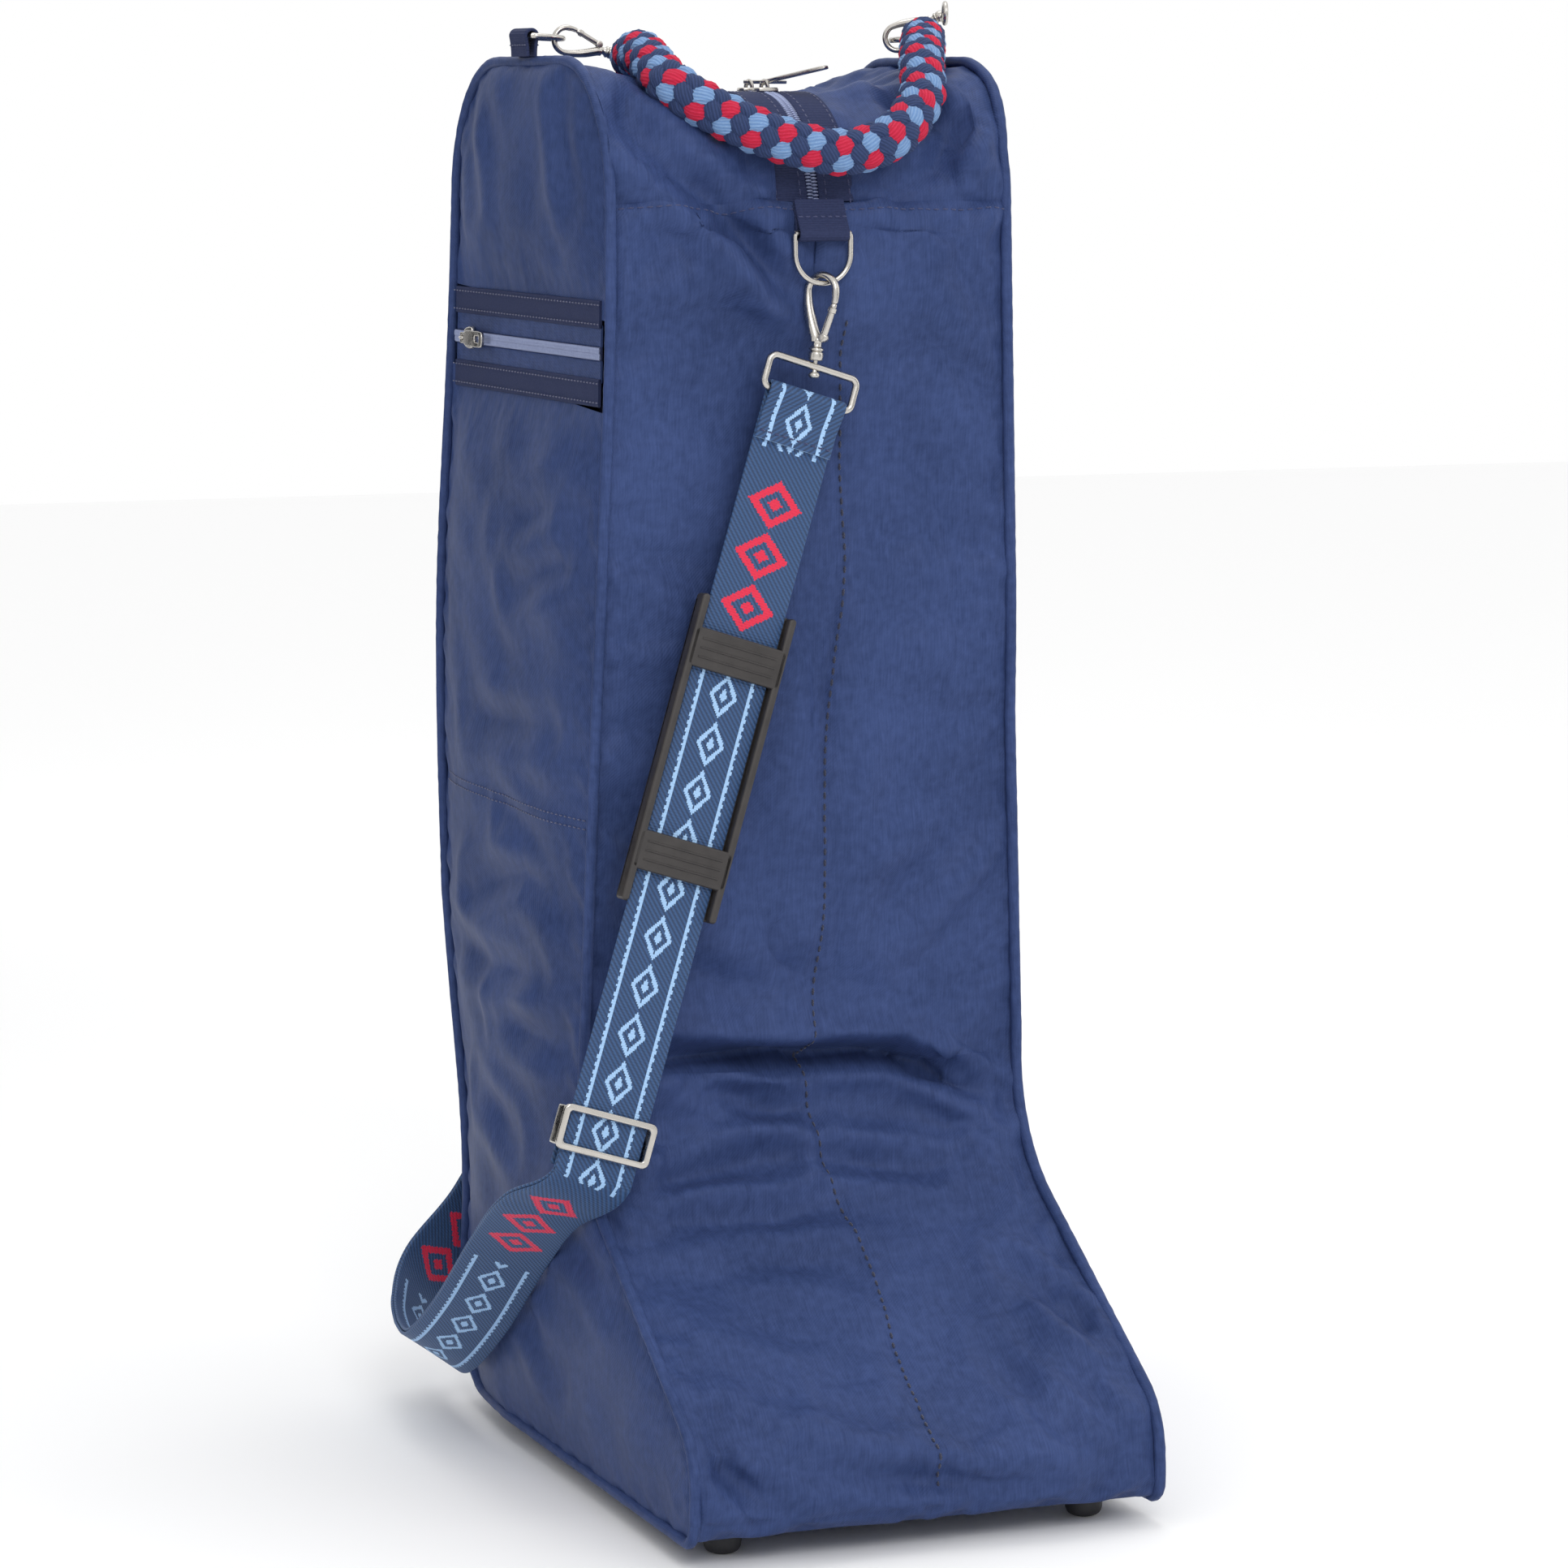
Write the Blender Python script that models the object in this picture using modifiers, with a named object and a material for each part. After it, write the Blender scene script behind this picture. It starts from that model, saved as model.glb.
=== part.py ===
"""Tall riding-boot bag: a boot-shaped soft case with a two-way top zip, a zipped side pocket,
a braided carrying handle on snap hooks and a long shoulder strap that hooks on front and back."""

import math

import bmesh
import bpy
from mathutils import Matrix, Vector

# Bag
BAG_HEIGHT = 0.650
SHAFT_DEPTH = 0.215
SOLE_LENGTH = 0.357
TOP_WIDTH = 0.196
SOLE_WIDTH = 0.222
SEAM_DROP = 0.063
ARCH_RADIUS = 0.060
ANKLE_HEIGHT = 0.190
HEEL_INSET = 0.010
HEEL_RADIUS = 0.050
TOP_SAG = 0.015
PANEL_WALL = 0.003
PIPING_RADIUS = 0.0025
TOUCH_GAP = 0.0004
SEAM_GAP = 0.0012
SWIVEL_GAP = 0.0012

# Feet and boards
FOOT_HEIGHT = 0.011
FOOT_RADIUS = 0.0085
FOOT_STUD_RADIUS = 0.0025
FOOT_INSET_SIDE = 0.024
FOOT_INSET_END = 0.030
BOARD_THICKNESS = 0.003
BOARD_MARGIN = 0.004
DIVIDER_THICKNESS = 0.002
DIVIDER_DROP = 0.090

# Zips
CHAIN_WIDTH = 0.0060
CHAIN_THICKNESS = 0.0026
TAPE_THICKNESS = 0.0012
TOP_TAPE_WIDTH = 0.0150
POCKET_TAPE_WIDTH = 0.0190
SLIDER_LENGTH = 0.012
SLIDER_WIDTH = 0.010
SLIDER_THICKNESS = 0.0022
PULLER_LENGTH = 0.028
PULLER_WIDTH = 0.0075
PULLER_THICKNESS = 0.0018
TOP_PULLER_YAW = math.radians(40)

# Side pocket
POCKET_ZIP_DROP = 0.130
POCKET_BOTTOM = 0.305
POCKET_DROP = 0.013
POCKET_SIDE_INSET = 0.012
POCKET_WALL = 0.0016
POCKET_SLIDER_INSET = 0.022

# Webbing tabs and D-rings
TAB_WIDTH = 0.024
TAB_THICKNESS = 0.0014
RING_WIRE_RADIUS = 0.0013
RING_INNER_WIDTH = 0.024
END_RING_BAR_OFFSET = 0.009
SIDE_RING_BAR_OFFSET = 0.005
END_RING_STANDOFF = 0.0115
END_TAB_LENGTH = 0.016
END_TAB_LEAN = 0.42
SIDE_TAB_LENGTH = 0.0085
SIDE_RING_DROOP = math.radians(4)

# Snap hooks and gates
HOOK_THROAT_RADIUS = 0.0074
HOOK_WIRE_RADIUS = 0.0016
HOOK_LENGTH = 0.031
SWIVEL_RADIUS = 0.0034
HOOK_PLAY = 0.0009
GATE_RADIUS = 0.00125
HANDLE_HOOK_SCALE = 0.78
STRAP_HOOK_YAW = math.radians(35)
STRAP_HOOK_LEAN = math.radians(6)

# Handle
BRAID_RADIUS = 0.0106
HANDLE_EYE_RADIUS = 0.0046
HANDLE_EYE_WIRE = 0.0012
LEFT_HOOK_AXIS = (0.965, 0.0, -0.262)
RIGHT_HOOK_AXIS = (0.82, -0.35, 0.45)
LEFT_EYE_AXIS = (0.45, -0.89, 0.0)
RIGHT_EYE_AXIS = (-0.30, -0.95, 0.05)

# Shoulder strap
STRAP_WIDTH = 0.038
STRAP_THICKNESS = 0.0016
STRAP_LAP = 0.023
STRAP_CLOSE_LENGTH = 0.012
STRAP_OPEN_LENGTH = 0.035
STRAP_LOOP_WIRE = 0.0017
STRAP_LOOP_HEIGHT = 0.0150
STRAP_LOOP_CLEARANCE = 0.0012
STRAP_SLOT_CLEARANCE = 0.0009
PAD_LENGTH = 0.142
PAD_WIDTH = 0.0470
PAD_BASE = 0.0030
PAD_RAIL_RISE = 0.0034
PAD_BAR_LENGTH = 0.018
PAD_BAR_INSET = 0.015
PAD_CENTRE_ALONG = 0.168
ADJUSTER_LENGTH = 0.021
ADJUSTER_WIDTH = 0.0460
ADJUSTER_RAIL = 0.0032
ADJUSTER_PLATE = 0.0024
ADJUSTER_CENTRE_BAR = 0.0024
ADJUSTER_ALONG = 0.343
ADJUSTER_TAIL = 0.018
STRAP_BEND_LEAD = 0.010
STRAP_REAR_LEAD = 0.030

BACK_Y = (SOLE_LENGTH + PIPING_RADIUS - END_RING_STANDOFF - RING_WIRE_RADIUS) / 2
FRONT_Y = BACK_Y - SHAFT_DEPTH
TOE_Y = BACK_Y - SOLE_LENGTH
BASE_Z = FOOT_HEIGHT + TOUCH_GAP
SEAM_HEIGHT = BAG_HEIGHT - SEAM_DROP
DIVIDER_TOP = BAG_HEIGHT - DIVIDER_DROP
POCKET_ZIP_HEIGHT = BAG_HEIGHT - POCKET_ZIP_DROP

UP = Vector((0, 0, 1))
RIGHT = Vector((1, 0, 0))
REAR = Vector((0, 1, 0))

FABRIC = ((0.070, 0.092, 0.235), 0.62, 0.0)
DARK_TAPE = ((0.017, 0.021, 0.050), 0.70, 0.0)
LINING = ((0.030, 0.035, 0.070), 0.80, 0.0)
BOARD = ((0.020, 0.020, 0.022), 0.60, 0.0)
NICKEL = ((0.74, 0.72, 0.69), 0.22, 1.0)
CHAIN = ((0.16, 0.18, 0.26), 0.40, 0.0)
BRAID = ((0.050, 0.085, 0.180), 0.85, 0.0)
WEBBING = ((0.028, 0.082, 0.190), 0.75, 0.0)
BLACK_PLASTIC = ((0.027, 0.023, 0.022), 0.45, 0.0)
RUBBER = ((0.012, 0.012, 0.013), 0.55, 0.0)

for leftover in list(bpy.data.objects):
    bpy.data.objects.remove(leftover, do_unlink=True)

scene_root = bpy.context.scene.collection
bag_collection = bpy.data.collections.new("riding_boot_bag")
cutter_collection = bpy.data.collections.new("cutters")
scene_root.children.link(bag_collection)
scene_root.children.link(cutter_collection)
cutter_collection.hide_render = True


# ---------------------------------------------------------------- objects and materials

def material(name, look):
    colour, roughness, metallic = look
    made = bpy.data.materials.new(name)
    made.use_nodes = True
    shader = made.node_tree.nodes["Principled BSDF"]
    shader.inputs["Base Color"].default_value = (*colour, 1.0)
    shader.inputs["Roughness"].default_value = roughness
    shader.inputs["Metallic"].default_value = metallic
    return made


def add_part(name, data, look, parent=None):
    """One sub-part, holding world coordinates, hung on its joint's empty when it has one."""
    part = bpy.data.objects.new(name, data)
    data.materials.append(material(name, look))
    bag_collection.objects.link(part)
    if parent is not None:
        part.parent = parent
        part.matrix_parent_inverse = parent.matrix_world.inverted()
    return part


def joint_point(name, place, axis, parent=None):
    """An empty on a joint's axis, its Z along the axis."""
    empty = bpy.data.objects.new(name, None)
    bag_collection.objects.link(empty)
    empty.empty_display_size = 0.01
    empty.matrix_world = Matrix.Translation(place) @ axis.to_track_quat("Z", "Y").to_matrix().to_4x4()
    if parent is not None:
        world = empty.matrix_world.copy()
        empty.parent = parent
        empty.matrix_parent_inverse = parent.matrix_world.inverted()
        empty.matrix_world = world
    bpy.context.view_layer.update()
    return empty


def mesh_from(bm):
    bmesh.ops.recalc_face_normals(bm, faces=bm.faces)
    mesh = bpy.data.meshes.new("mesh")
    bm.to_mesh(mesh)
    bm.free()
    return mesh


def smooth(part, degrees=40):
    part.data.shade_smooth()
    part.data.set_sharp_from_angle(angle=math.radians(degrees))
    return part


def frame_of(origin, x_axis, y_axis, z_axis):
    turn = Matrix((x_axis, y_axis, z_axis)).transposed().to_4x4()
    return Matrix.Translation(origin) @ turn


def loft(sections, closed_ends=True):
    """A closed solid through equal rings of points."""
    bm = bmesh.new()
    rings = [[bm.verts.new(point) for point in section] for section in sections]
    for first, second in zip(rings, rings[1:]):
        for i in range(len(first)):
            j = (i + 1) % len(first)
            bm.faces.new((first[i], first[j], second[j], second[i]))
    if closed_ends:
        bm.faces.new(rings[0])
        bm.faces.new(rings[-1])
    return mesh_from(bm)


def wire(name, points, radius, look, parent=None, closed=False, widths=None, resolution=2):
    """A round rod along points; widths scales its radius at each of them."""
    data = bpy.data.curves.new(name, "CURVE")
    data.dimensions = "3D"
    spline = data.splines.new("POLY")
    spline.points.add(len(points) - 1)
    for i, point in enumerate(points):
        spline.points[i].co = (*point, 1.0)
        spline.points[i].radius = widths[i] if widths else 1.0
    spline.use_cyclic_u = closed
    data.bevel_depth = radius
    data.bevel_resolution = resolution
    data.use_fill_caps = not closed
    data.twist_mode = "MINIMUM"
    return add_part(name, data, look, parent)


def box_mesh(size, place=None):
    bm = bmesh.new()
    bmesh.ops.create_cube(bm, size=1.0)
    bmesh.ops.scale(bm, vec=size, verts=bm.verts)
    if place is not None:
        bmesh.ops.transform(bm, matrix=place, verts=bm.verts)
    return mesh_from(bm)


def cut_away(part, cutters):
    for i, mesh in enumerate(cutters):
        cutter = bpy.data.objects.new(f"{part.name}_cutter_{i}", mesh)
        cutter_collection.objects.link(cutter)
        cutter.hide_render = True
        cutter.display_type = "WIRE"
        boolean = part.modifiers.new(f"cut_{i}", "BOOLEAN")
        boolean.operation = "DIFFERENCE"
        boolean.object = cutter


# ---------------------------------------------------------------- the side outline

def half_width(z):
    """Half the bag's width, which grows evenly from the top to the sole."""
    share = (z - BASE_Z) / (BAG_HEIGHT - BASE_Z)
    return (SOLE_WIDTH + (TOP_WIDTH - SOLE_WIDTH) * share) / 2


def outline_corners():
    """The boot shape as (depth from the back, height, rounding radius)."""
    return (
        (SOLE_LENGTH, BASE_Z, 0.010),
        (HEEL_INSET, BASE_Z, HEEL_RADIUS),
        (-0.004, 0.300, 0.600),
        (0.000, BAG_HEIGHT, ARCH_RADIUS),
        (SHAFT_DEPTH, BAG_HEIGHT, ARCH_RADIUS),
        (SHAFT_DEPTH, 0.400, 0.500),
        (SHAFT_DEPTH - 0.015, 0.150, 0.070),
        (SOLE_LENGTH, 0.052, 0.035),
    )


def rounded_outline(corners, degrees_per_step):
    """(depth, height) points round the closed outline, each corner as an arc."""
    points = []
    count = len(corners)
    for i, (depth, height, radius) in enumerate(corners):
        here = Vector((depth, height))
        before = (Vector(corners[i - 1][:2]) - here).normalized()
        after = (Vector(corners[(i + 1) % count][:2]) - here).normalized()
        half_turn = before.angle(after) / 2
        reach = radius / math.tan(half_turn)
        start, end = here + before * reach, here + after * reach
        centre = here + (before + after).normalized() * radius / math.sin(half_turn)
        steps = max(2, round(math.degrees(math.pi - 2 * half_turn) / degrees_per_step))
        first, last = start - centre, end - centre
        for step in range(steps + 1):
            spoke = first.slerp(last, step / steps).normalized() * radius
            points.append(centre + spoke)
    return points


class Path:
    """A closed or open run of 2D points measured by the distance along it."""

    def __init__(self, points, closed):
        self.points = points + points[:1] if closed else points
        self.at = [0.0]
        for a, b in zip(self.points, self.points[1:]):
            self.at.append(self.at[-1] + (b - a).length)
        self.length = self.at[-1]

    def point(self, distance):
        distance = min(max(distance, 0.0), self.length)
        i = 0
        while i < len(self.at) - 2 and self.at[i + 1] < distance:
            i += 1
        share = (distance - self.at[i]) / (self.at[i + 1] - self.at[i])
        return self.points[i].lerp(self.points[i + 1], share)

    def normal(self, distance):
        """Outward normal, for points that run sole, back, top, front."""
        reach = 0.003
        along = self.point(distance + reach) - self.point(distance - reach)
        return Vector((-along.y, along.x)).normalized()

    def marks(self, start, end, spacing):
        """Distances from start to end that hold every bend of the run and leave no long gap."""
        held = [start] + [mark for mark in self.at if start + 0.002 < mark < end - 0.002] + [end]
        marks = []
        for a, b in zip(held, held[1:]):
            steps = max(1, math.ceil((b - a) / spacing))
            marks += [a + (b - a) * step / steps for step in range(steps)]
        return marks + [end]

    def nearest(self, depth, height):
        target = Vector((depth, height))
        steps = 2000
        marks = [self.length * i / steps for i in range(steps + 1)]
        return min(marks, key=lambda mark: (self.point(mark) - target).length)


OUTLINE = Path(rounded_outline(outline_corners(), 11), closed=True)
AT_TOE_EDGE = 0.0
HEEL_FLAT = HEEL_INSET + HEEL_RADIUS + 0.002
AT_HEEL_EDGE = OUTLINE.nearest(HEEL_FLAT, BASE_Z)
AT_REAR_SEAM = OUTLINE.nearest(0.0, SEAM_HEIGHT)
AT_FRONT_SEAM = OUTLINE.nearest(SHAFT_DEPTH, SEAM_HEIGHT)
AT_ANKLE = OUTLINE.nearest(SHAFT_DEPTH - 0.010, ANKLE_HEIGHT)
AT_TOE_END = OUTLINE.length


def world(x, flat):
    """A (depth, height) point placed in the bag at a given x."""
    return Vector((x, BACK_Y - flat.x, flat.y))


def zip_path():
    """The centre line of the top zip: up the front, over the sagging top and down the back."""
    sag_top = BAG_HEIGHT - TOP_SAG
    centre_height = sag_top - ARCH_RADIUS
    start = math.asin((SEAM_HEIGHT - centre_height) / ARCH_RADIUS)
    points = []
    for step in range(8):
        angle = start + (math.pi / 2 - start) * step / 7
        across = ARCH_RADIUS - ARCH_RADIUS * math.cos(angle)
        points.append(Vector((across, centre_height + ARCH_RADIUS * math.sin(angle))))
    front = [Vector((SHAFT_DEPTH - point.x, point.y)) for point in reversed(points)]
    return Path(points + front, closed=False)


ZIP_PATH = zip_path()
ZIP_TOP_Z = BAG_HEIGHT - TOP_SAG


# ---------------------------------------------------------------- fabric panels

def strip(name, start, end, bulge, look=FABRIC):
    """A stretch of gusset that wraps round the outline between the two side panels."""
    inset = PIPING_RADIUS + TOUCH_GAP
    across = 6
    bm = bmesh.new()
    grid = []
    for distance in OUTLINE.marks(start + SEAM_GAP / 2, end - SEAM_GAP / 2, 0.040):
        share = (distance - start) / (end - start)
        flat, out = OUTLINE.point(distance), OUTLINE.normal(distance)
        swell = bulge * math.sin(math.pi * share)
        row = []
        for j in range(across + 1):
            side = 2 * j / across - 1
            lift = swell * (1 - side * side)
            spot = flat + out * lift
            row.append(bm.verts.new(world(side * (half_width(flat.y) - inset), spot)))
        grid.append(row[::-1])
    fill_grid(bm, grid)
    return solidified(name, bm, PANEL_WALL, look)


def fill_grid(bm, grid):
    for first, second in zip(grid, grid[1:]):
        for a, b, c, d in zip(first, first[1:], second[1:], second):
            bm.faces.new((a, b, c, d))


def solidified(name, bm, wall, look, parent=None):
    """An open surface made a sheet whose outer face is where the surface was."""
    mesh = bpy.data.meshes.new(name)
    bm.to_mesh(mesh)
    bm.free()
    sheet = add_part(name, mesh, look, parent)
    thickness = sheet.modifiers.new("wall", "SOLIDIFY")
    thickness.thickness = wall
    thickness.offset = -1
    thickness.use_even_offset = True
    return smooth(sheet)


def top_panel(name, side):
    """Half of the zipped top, from the arched edge of the side panel down to the zip tape."""
    outer_inset = PIPING_RADIUS + TOUCH_GAP
    inner_x = CHAIN_WIDTH / 2 + TOUCH_GAP + TOP_TAPE_WIDTH + TOUCH_GAP
    steps, across = 18, 4
    bm = bmesh.new()
    grid = []
    for i in range(steps + 1):
        share = i / steps
        distance = AT_REAR_SEAM + SEAM_GAP / 2 + (AT_FRONT_SEAM - AT_REAR_SEAM - SEAM_GAP) * share
        edge = OUTLINE.point(distance)
        low = ZIP_PATH.point(SEAM_GAP + (ZIP_PATH.length - 2 * SEAM_GAP) * share)
        row = []
        for j in range(across + 1):
            blend = j / across
            x = (half_width(edge.y) - outer_inset) * (1 - blend) + inner_x * blend
            ease = blend * (2 - blend)
            row.append(bm.verts.new(world(side * x, edge.lerp(low, ease))))
        grid.append(row if side > 0 else row[::-1])
    fill_grid(bm, grid)
    return solidified(name, bm, PANEL_WALL, FABRIC)


def along_zip(name, x_low, x_high, thickness, sink, look):
    """A flat ribbon that follows the top zip, its outer face `sink` below the zip's line."""
    steps = 16
    sections = []
    for i in range(steps + 1):
        distance = SEAM_GAP + (ZIP_PATH.length - 2 * SEAM_GAP) * i / steps
        flat, out = ZIP_PATH.point(distance), ZIP_PATH.normal(distance)
        top, bottom = flat - out * sink, flat - out * (sink + thickness)
        sections.append((world(x_low, bottom), world(x_high, bottom), world(x_high, top), world(x_low, top)))
    return smooth(add_part(name, loft(sections), look))


def side_shape(name, side, low, high, look=FABRIC):
    """A flat boot-shaped side panel, or the part of it between two heights."""
    inset = PANEL_WALL + SEAM_GAP
    steps = 84
    flats = []
    for i in range(steps):
        distance = OUTLINE.length * i / steps
        flats.append(OUTLINE.point(distance) - OUTLINE.normal(distance) * inset)
    bm = bmesh.new()
    face = bm.faces.new([bm.verts.new(world(side * half_width(flat.y), flat)) for flat in flats])
    for height, keep_above in ((low, True), (high, False)):
        if height is None:
            continue
        bmesh.ops.bisect_plane(
            bm, geom=list(bm.verts) + list(bm.edges) + list(bm.faces), dist=1e-6,
            plane_co=(0, 0, height), plane_no=(0, 0, 1),
            clear_inner=keep_above, clear_outer=not keep_above)
    bm.faces.ensure_lookup_table()
    face = bm.faces[0]
    bm.normal_update()
    if face.normal.x * side < 0:
        bmesh.ops.reverse_faces(bm, faces=bm.faces)
    return solidified(name, bm, PANEL_WALL, look)


def piping(name, side):
    points = [world(side * half_width(flat.y), flat) for flat in OUTLINE.points[:-1]]
    return wire(name, points, PIPING_RADIUS, FABRIC, closed=True)


def centre_divider():
    """The fabric wall that keeps the two boots apart, sewn in along the middle of the gusset."""
    inset = PANEL_WALL + 0.0016
    steps = 72
    floor = BASE_Z + PANEL_WALL + BOARD_THICKNESS + 3 * TOUCH_GAP
    bm = bmesh.new()
    ring = []
    for i in range(steps):
        distance = OUTLINE.length * i / steps
        flat = OUTLINE.point(distance) - OUTLINE.normal(distance) * inset
        ring.append(bm.verts.new(world(-DIVIDER_THICKNESS / 2, flat)))
    bm.faces.new(ring)
    for height, keep_above in ((floor, True), (DIVIDER_TOP, False)):
        bmesh.ops.bisect_plane(
            bm, geom=list(bm.verts) + list(bm.edges) + list(bm.faces), dist=1e-6,
            plane_co=(0, 0, height), plane_no=(0, 0, 1),
            clear_inner=keep_above, clear_outer=not keep_above)
    bm.normal_update()
    bm.faces.ensure_lookup_table()
    if bm.faces[0].normal.x > 0:
        bmesh.ops.reverse_faces(bm, faces=bm.faces)
    return solidified("centre_divider", bm, DIVIDER_THICKNESS, LINING)


# ---------------------------------------------------------------- sole

def foot_places():
    side = SOLE_WIDTH / 2 - FOOT_INSET_SIDE
    front, rear = TOE_Y + FOOT_INSET_END, BACK_Y - HEEL_FLAT - FOOT_RADIUS
    return {
        "foot_front_left": (-side, front), "foot_front_right": (side, front),
        "foot_rear_left": (-side, rear), "foot_rear_right": (side, rear),
    }


def stud_holes(thickness_top):
    size = (FOOT_STUD_RADIUS + TOUCH_GAP) * 2
    cutters = []
    for x, y in foot_places().values():
        bm = bmesh.new()
        bmesh.ops.create_cone(bm, cap_ends=True, segments=16, radius1=size / 2, radius2=size / 2, depth=0.02)
        bmesh.ops.translate(bm, vec=(x, y, thickness_top), verts=bm.verts)
        cutters.append(mesh_from(bm))
    return cutters


def base_board():
    """The stiff board that lies in the bottom of the bag."""
    floor = BASE_Z + PANEL_WALL + TOUCH_GAP
    margin = PANEL_WALL + BOARD_MARGIN
    rear, front = BACK_Y - HEEL_FLAT - BOARD_MARGIN, TOE_Y + margin + 0.006
    width = 2 * (half_width(floor) - margin)
    place = Matrix.Translation((0, (rear + front) / 2, floor + BOARD_THICKNESS / 2))
    board = add_part("base_board", box_mesh((width, rear - front, BOARD_THICKNESS), place), BOARD)
    cut_away(board, stud_holes(floor))
    return board


def feet():
    stud_top = BASE_Z + PANEL_WALL + TOUCH_GAP + BOARD_THICKNESS * 0.8
    profile = (
        (0.0, stud_top), (FOOT_STUD_RADIUS, stud_top), (FOOT_STUD_RADIUS, FOOT_HEIGHT),
        (FOOT_RADIUS, FOOT_HEIGHT), (FOOT_RADIUS, 0.0042), (FOOT_RADIUS - 0.0011, 0.0016),
        (FOOT_RADIUS - 0.0030, 0.0), (0.0, 0.0),
    )
    for name, (x, y) in foot_places().items():
        bm = bmesh.new()
        verts = [bm.verts.new((radius, 0, height)) for radius, height in profile]
        for a, b in zip(verts, verts[1:]):
            bm.edges.new((a, b))
        mesh = bpy.data.meshes.new(name)
        bm.to_mesh(mesh)
        bm.free()
        foot = add_part(name, mesh, RUBBER)
        foot.location = (x, y, 0)
        turn = foot.modifiers.new("turned", "SCREW")
        turn.steps = turn.render_steps = 20
        turn.use_merge_vertices = True
        turn.merge_threshold = 0.0001


# ---------------------------------------------------------------- zips, sliders and pullers

def slider(name, frame, parent):
    """The slider's top plate with its side lips and the bridge that the puller hangs on."""
    body = add_part(name, box_mesh((SLIDER_WIDTH, SLIDER_LENGTH, SLIDER_THICKNESS), frame), NICKEL, parent)
    rise = SLIDER_THICKNESS / 2
    bridge = frame @ Matrix.Translation((0, 0, rise + 0.0013))
    hole = frame @ Matrix.Translation((0, 0, rise + 0.0006))
    for i, (operation, mesh) in enumerate((
            ("UNION", box_mesh((0.0030, SLIDER_LENGTH * 0.66, 0.0032), bridge)),
            ("DIFFERENCE", box_mesh((0.0080, SLIDER_LENGTH * 0.40, 0.0018), hole)))):
        tool = bpy.data.objects.new(f"{name}_tool_{i}", mesh)
        cutter_collection.objects.link(tool)
        tool.hide_render = True
        tool.display_type = "WIRE"
        boolean = body.modifiers.new(operation.lower(), "BOOLEAN")
        boolean.operation = operation
        boolean.object = tool
    return body


def puller(name, pivot, away, lift, parent):
    """A flat tag with a slot at its free end, hung on the slider's bridge."""
    side = lift.cross(away).normalized()
    up = away.cross(side).normalized()
    start = 0.0046
    middle = pivot + away * (start + PULLER_LENGTH / 2)
    frame = frame_of(middle, side, away, up)
    tag = add_part(name, box_mesh((PULLER_WIDTH, PULLER_LENGTH, PULLER_THICKNESS), frame), NICKEL, parent)
    slot = frame @ Matrix.Translation((0, PULLER_LENGTH * 0.30, 0))
    eye = frame @ Matrix.Translation((0, -PULLER_LENGTH * 0.38, 0))
    cut_away(tag, [
        box_mesh((PULLER_WIDTH * 0.45, PULLER_LENGTH * 0.20, 0.01), slot),
        box_mesh((PULLER_WIDTH * 0.45, PULLER_LENGTH * 0.10, 0.01), eye),
    ])
    return tag


def top_zip():
    side = CHAIN_WIDTH / 2
    inner, outer = side + TOUCH_GAP, side + TOUCH_GAP + TOP_TAPE_WIDTH
    along_zip("zip_tape_left", -outer, -inner, TAPE_THICKNESS, 0.0004, DARK_TAPE)
    along_zip("zip_tape_right", inner, outer, TAPE_THICKNESS, 0.0004, DARK_TAPE)
    along_zip("zip_chain", -side, side, CHAIN_THICKNESS, -0.0006, CHAIN)
    plate_z = ZIP_TOP_Z + 0.0006 + TOUCH_GAP + SLIDER_THICKNESS / 2
    front_y = FRONT_Y + ARCH_RADIUS
    arc_centre = Vector((0, front_y, ZIP_TOP_Z - ARCH_RADIUS))
    places = {
        "front": (front_y + 0.002, joint_point("slider_front_arc", arc_centre, RIGHT), 1),
        "rear": (front_y + 0.002 + SLIDER_LENGTH + 0.008, None, -1),
    }
    for end, (y, parent, toward) in places.items():
        spot = Vector((0, y, plate_z))
        if parent is None:
            parent = joint_point("slider_rear_slide", spot, REAR)
        slider(f"slider_{end}", frame_of(spot, RIGHT, REAR, UP), parent)
        away = Vector((math.cos(TOP_PULLER_YAW), -toward * math.sin(TOP_PULLER_YAW), 0))
        pivot = spot + Vector((0, 0, SLIDER_THICKNESS / 2 + 0.0026))
        hinge = joint_point(f"puller_{end}_hinge", pivot, UP.cross(away), parent)
        puller(f"puller_{end}", pivot, away, UP, hinge)


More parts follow.
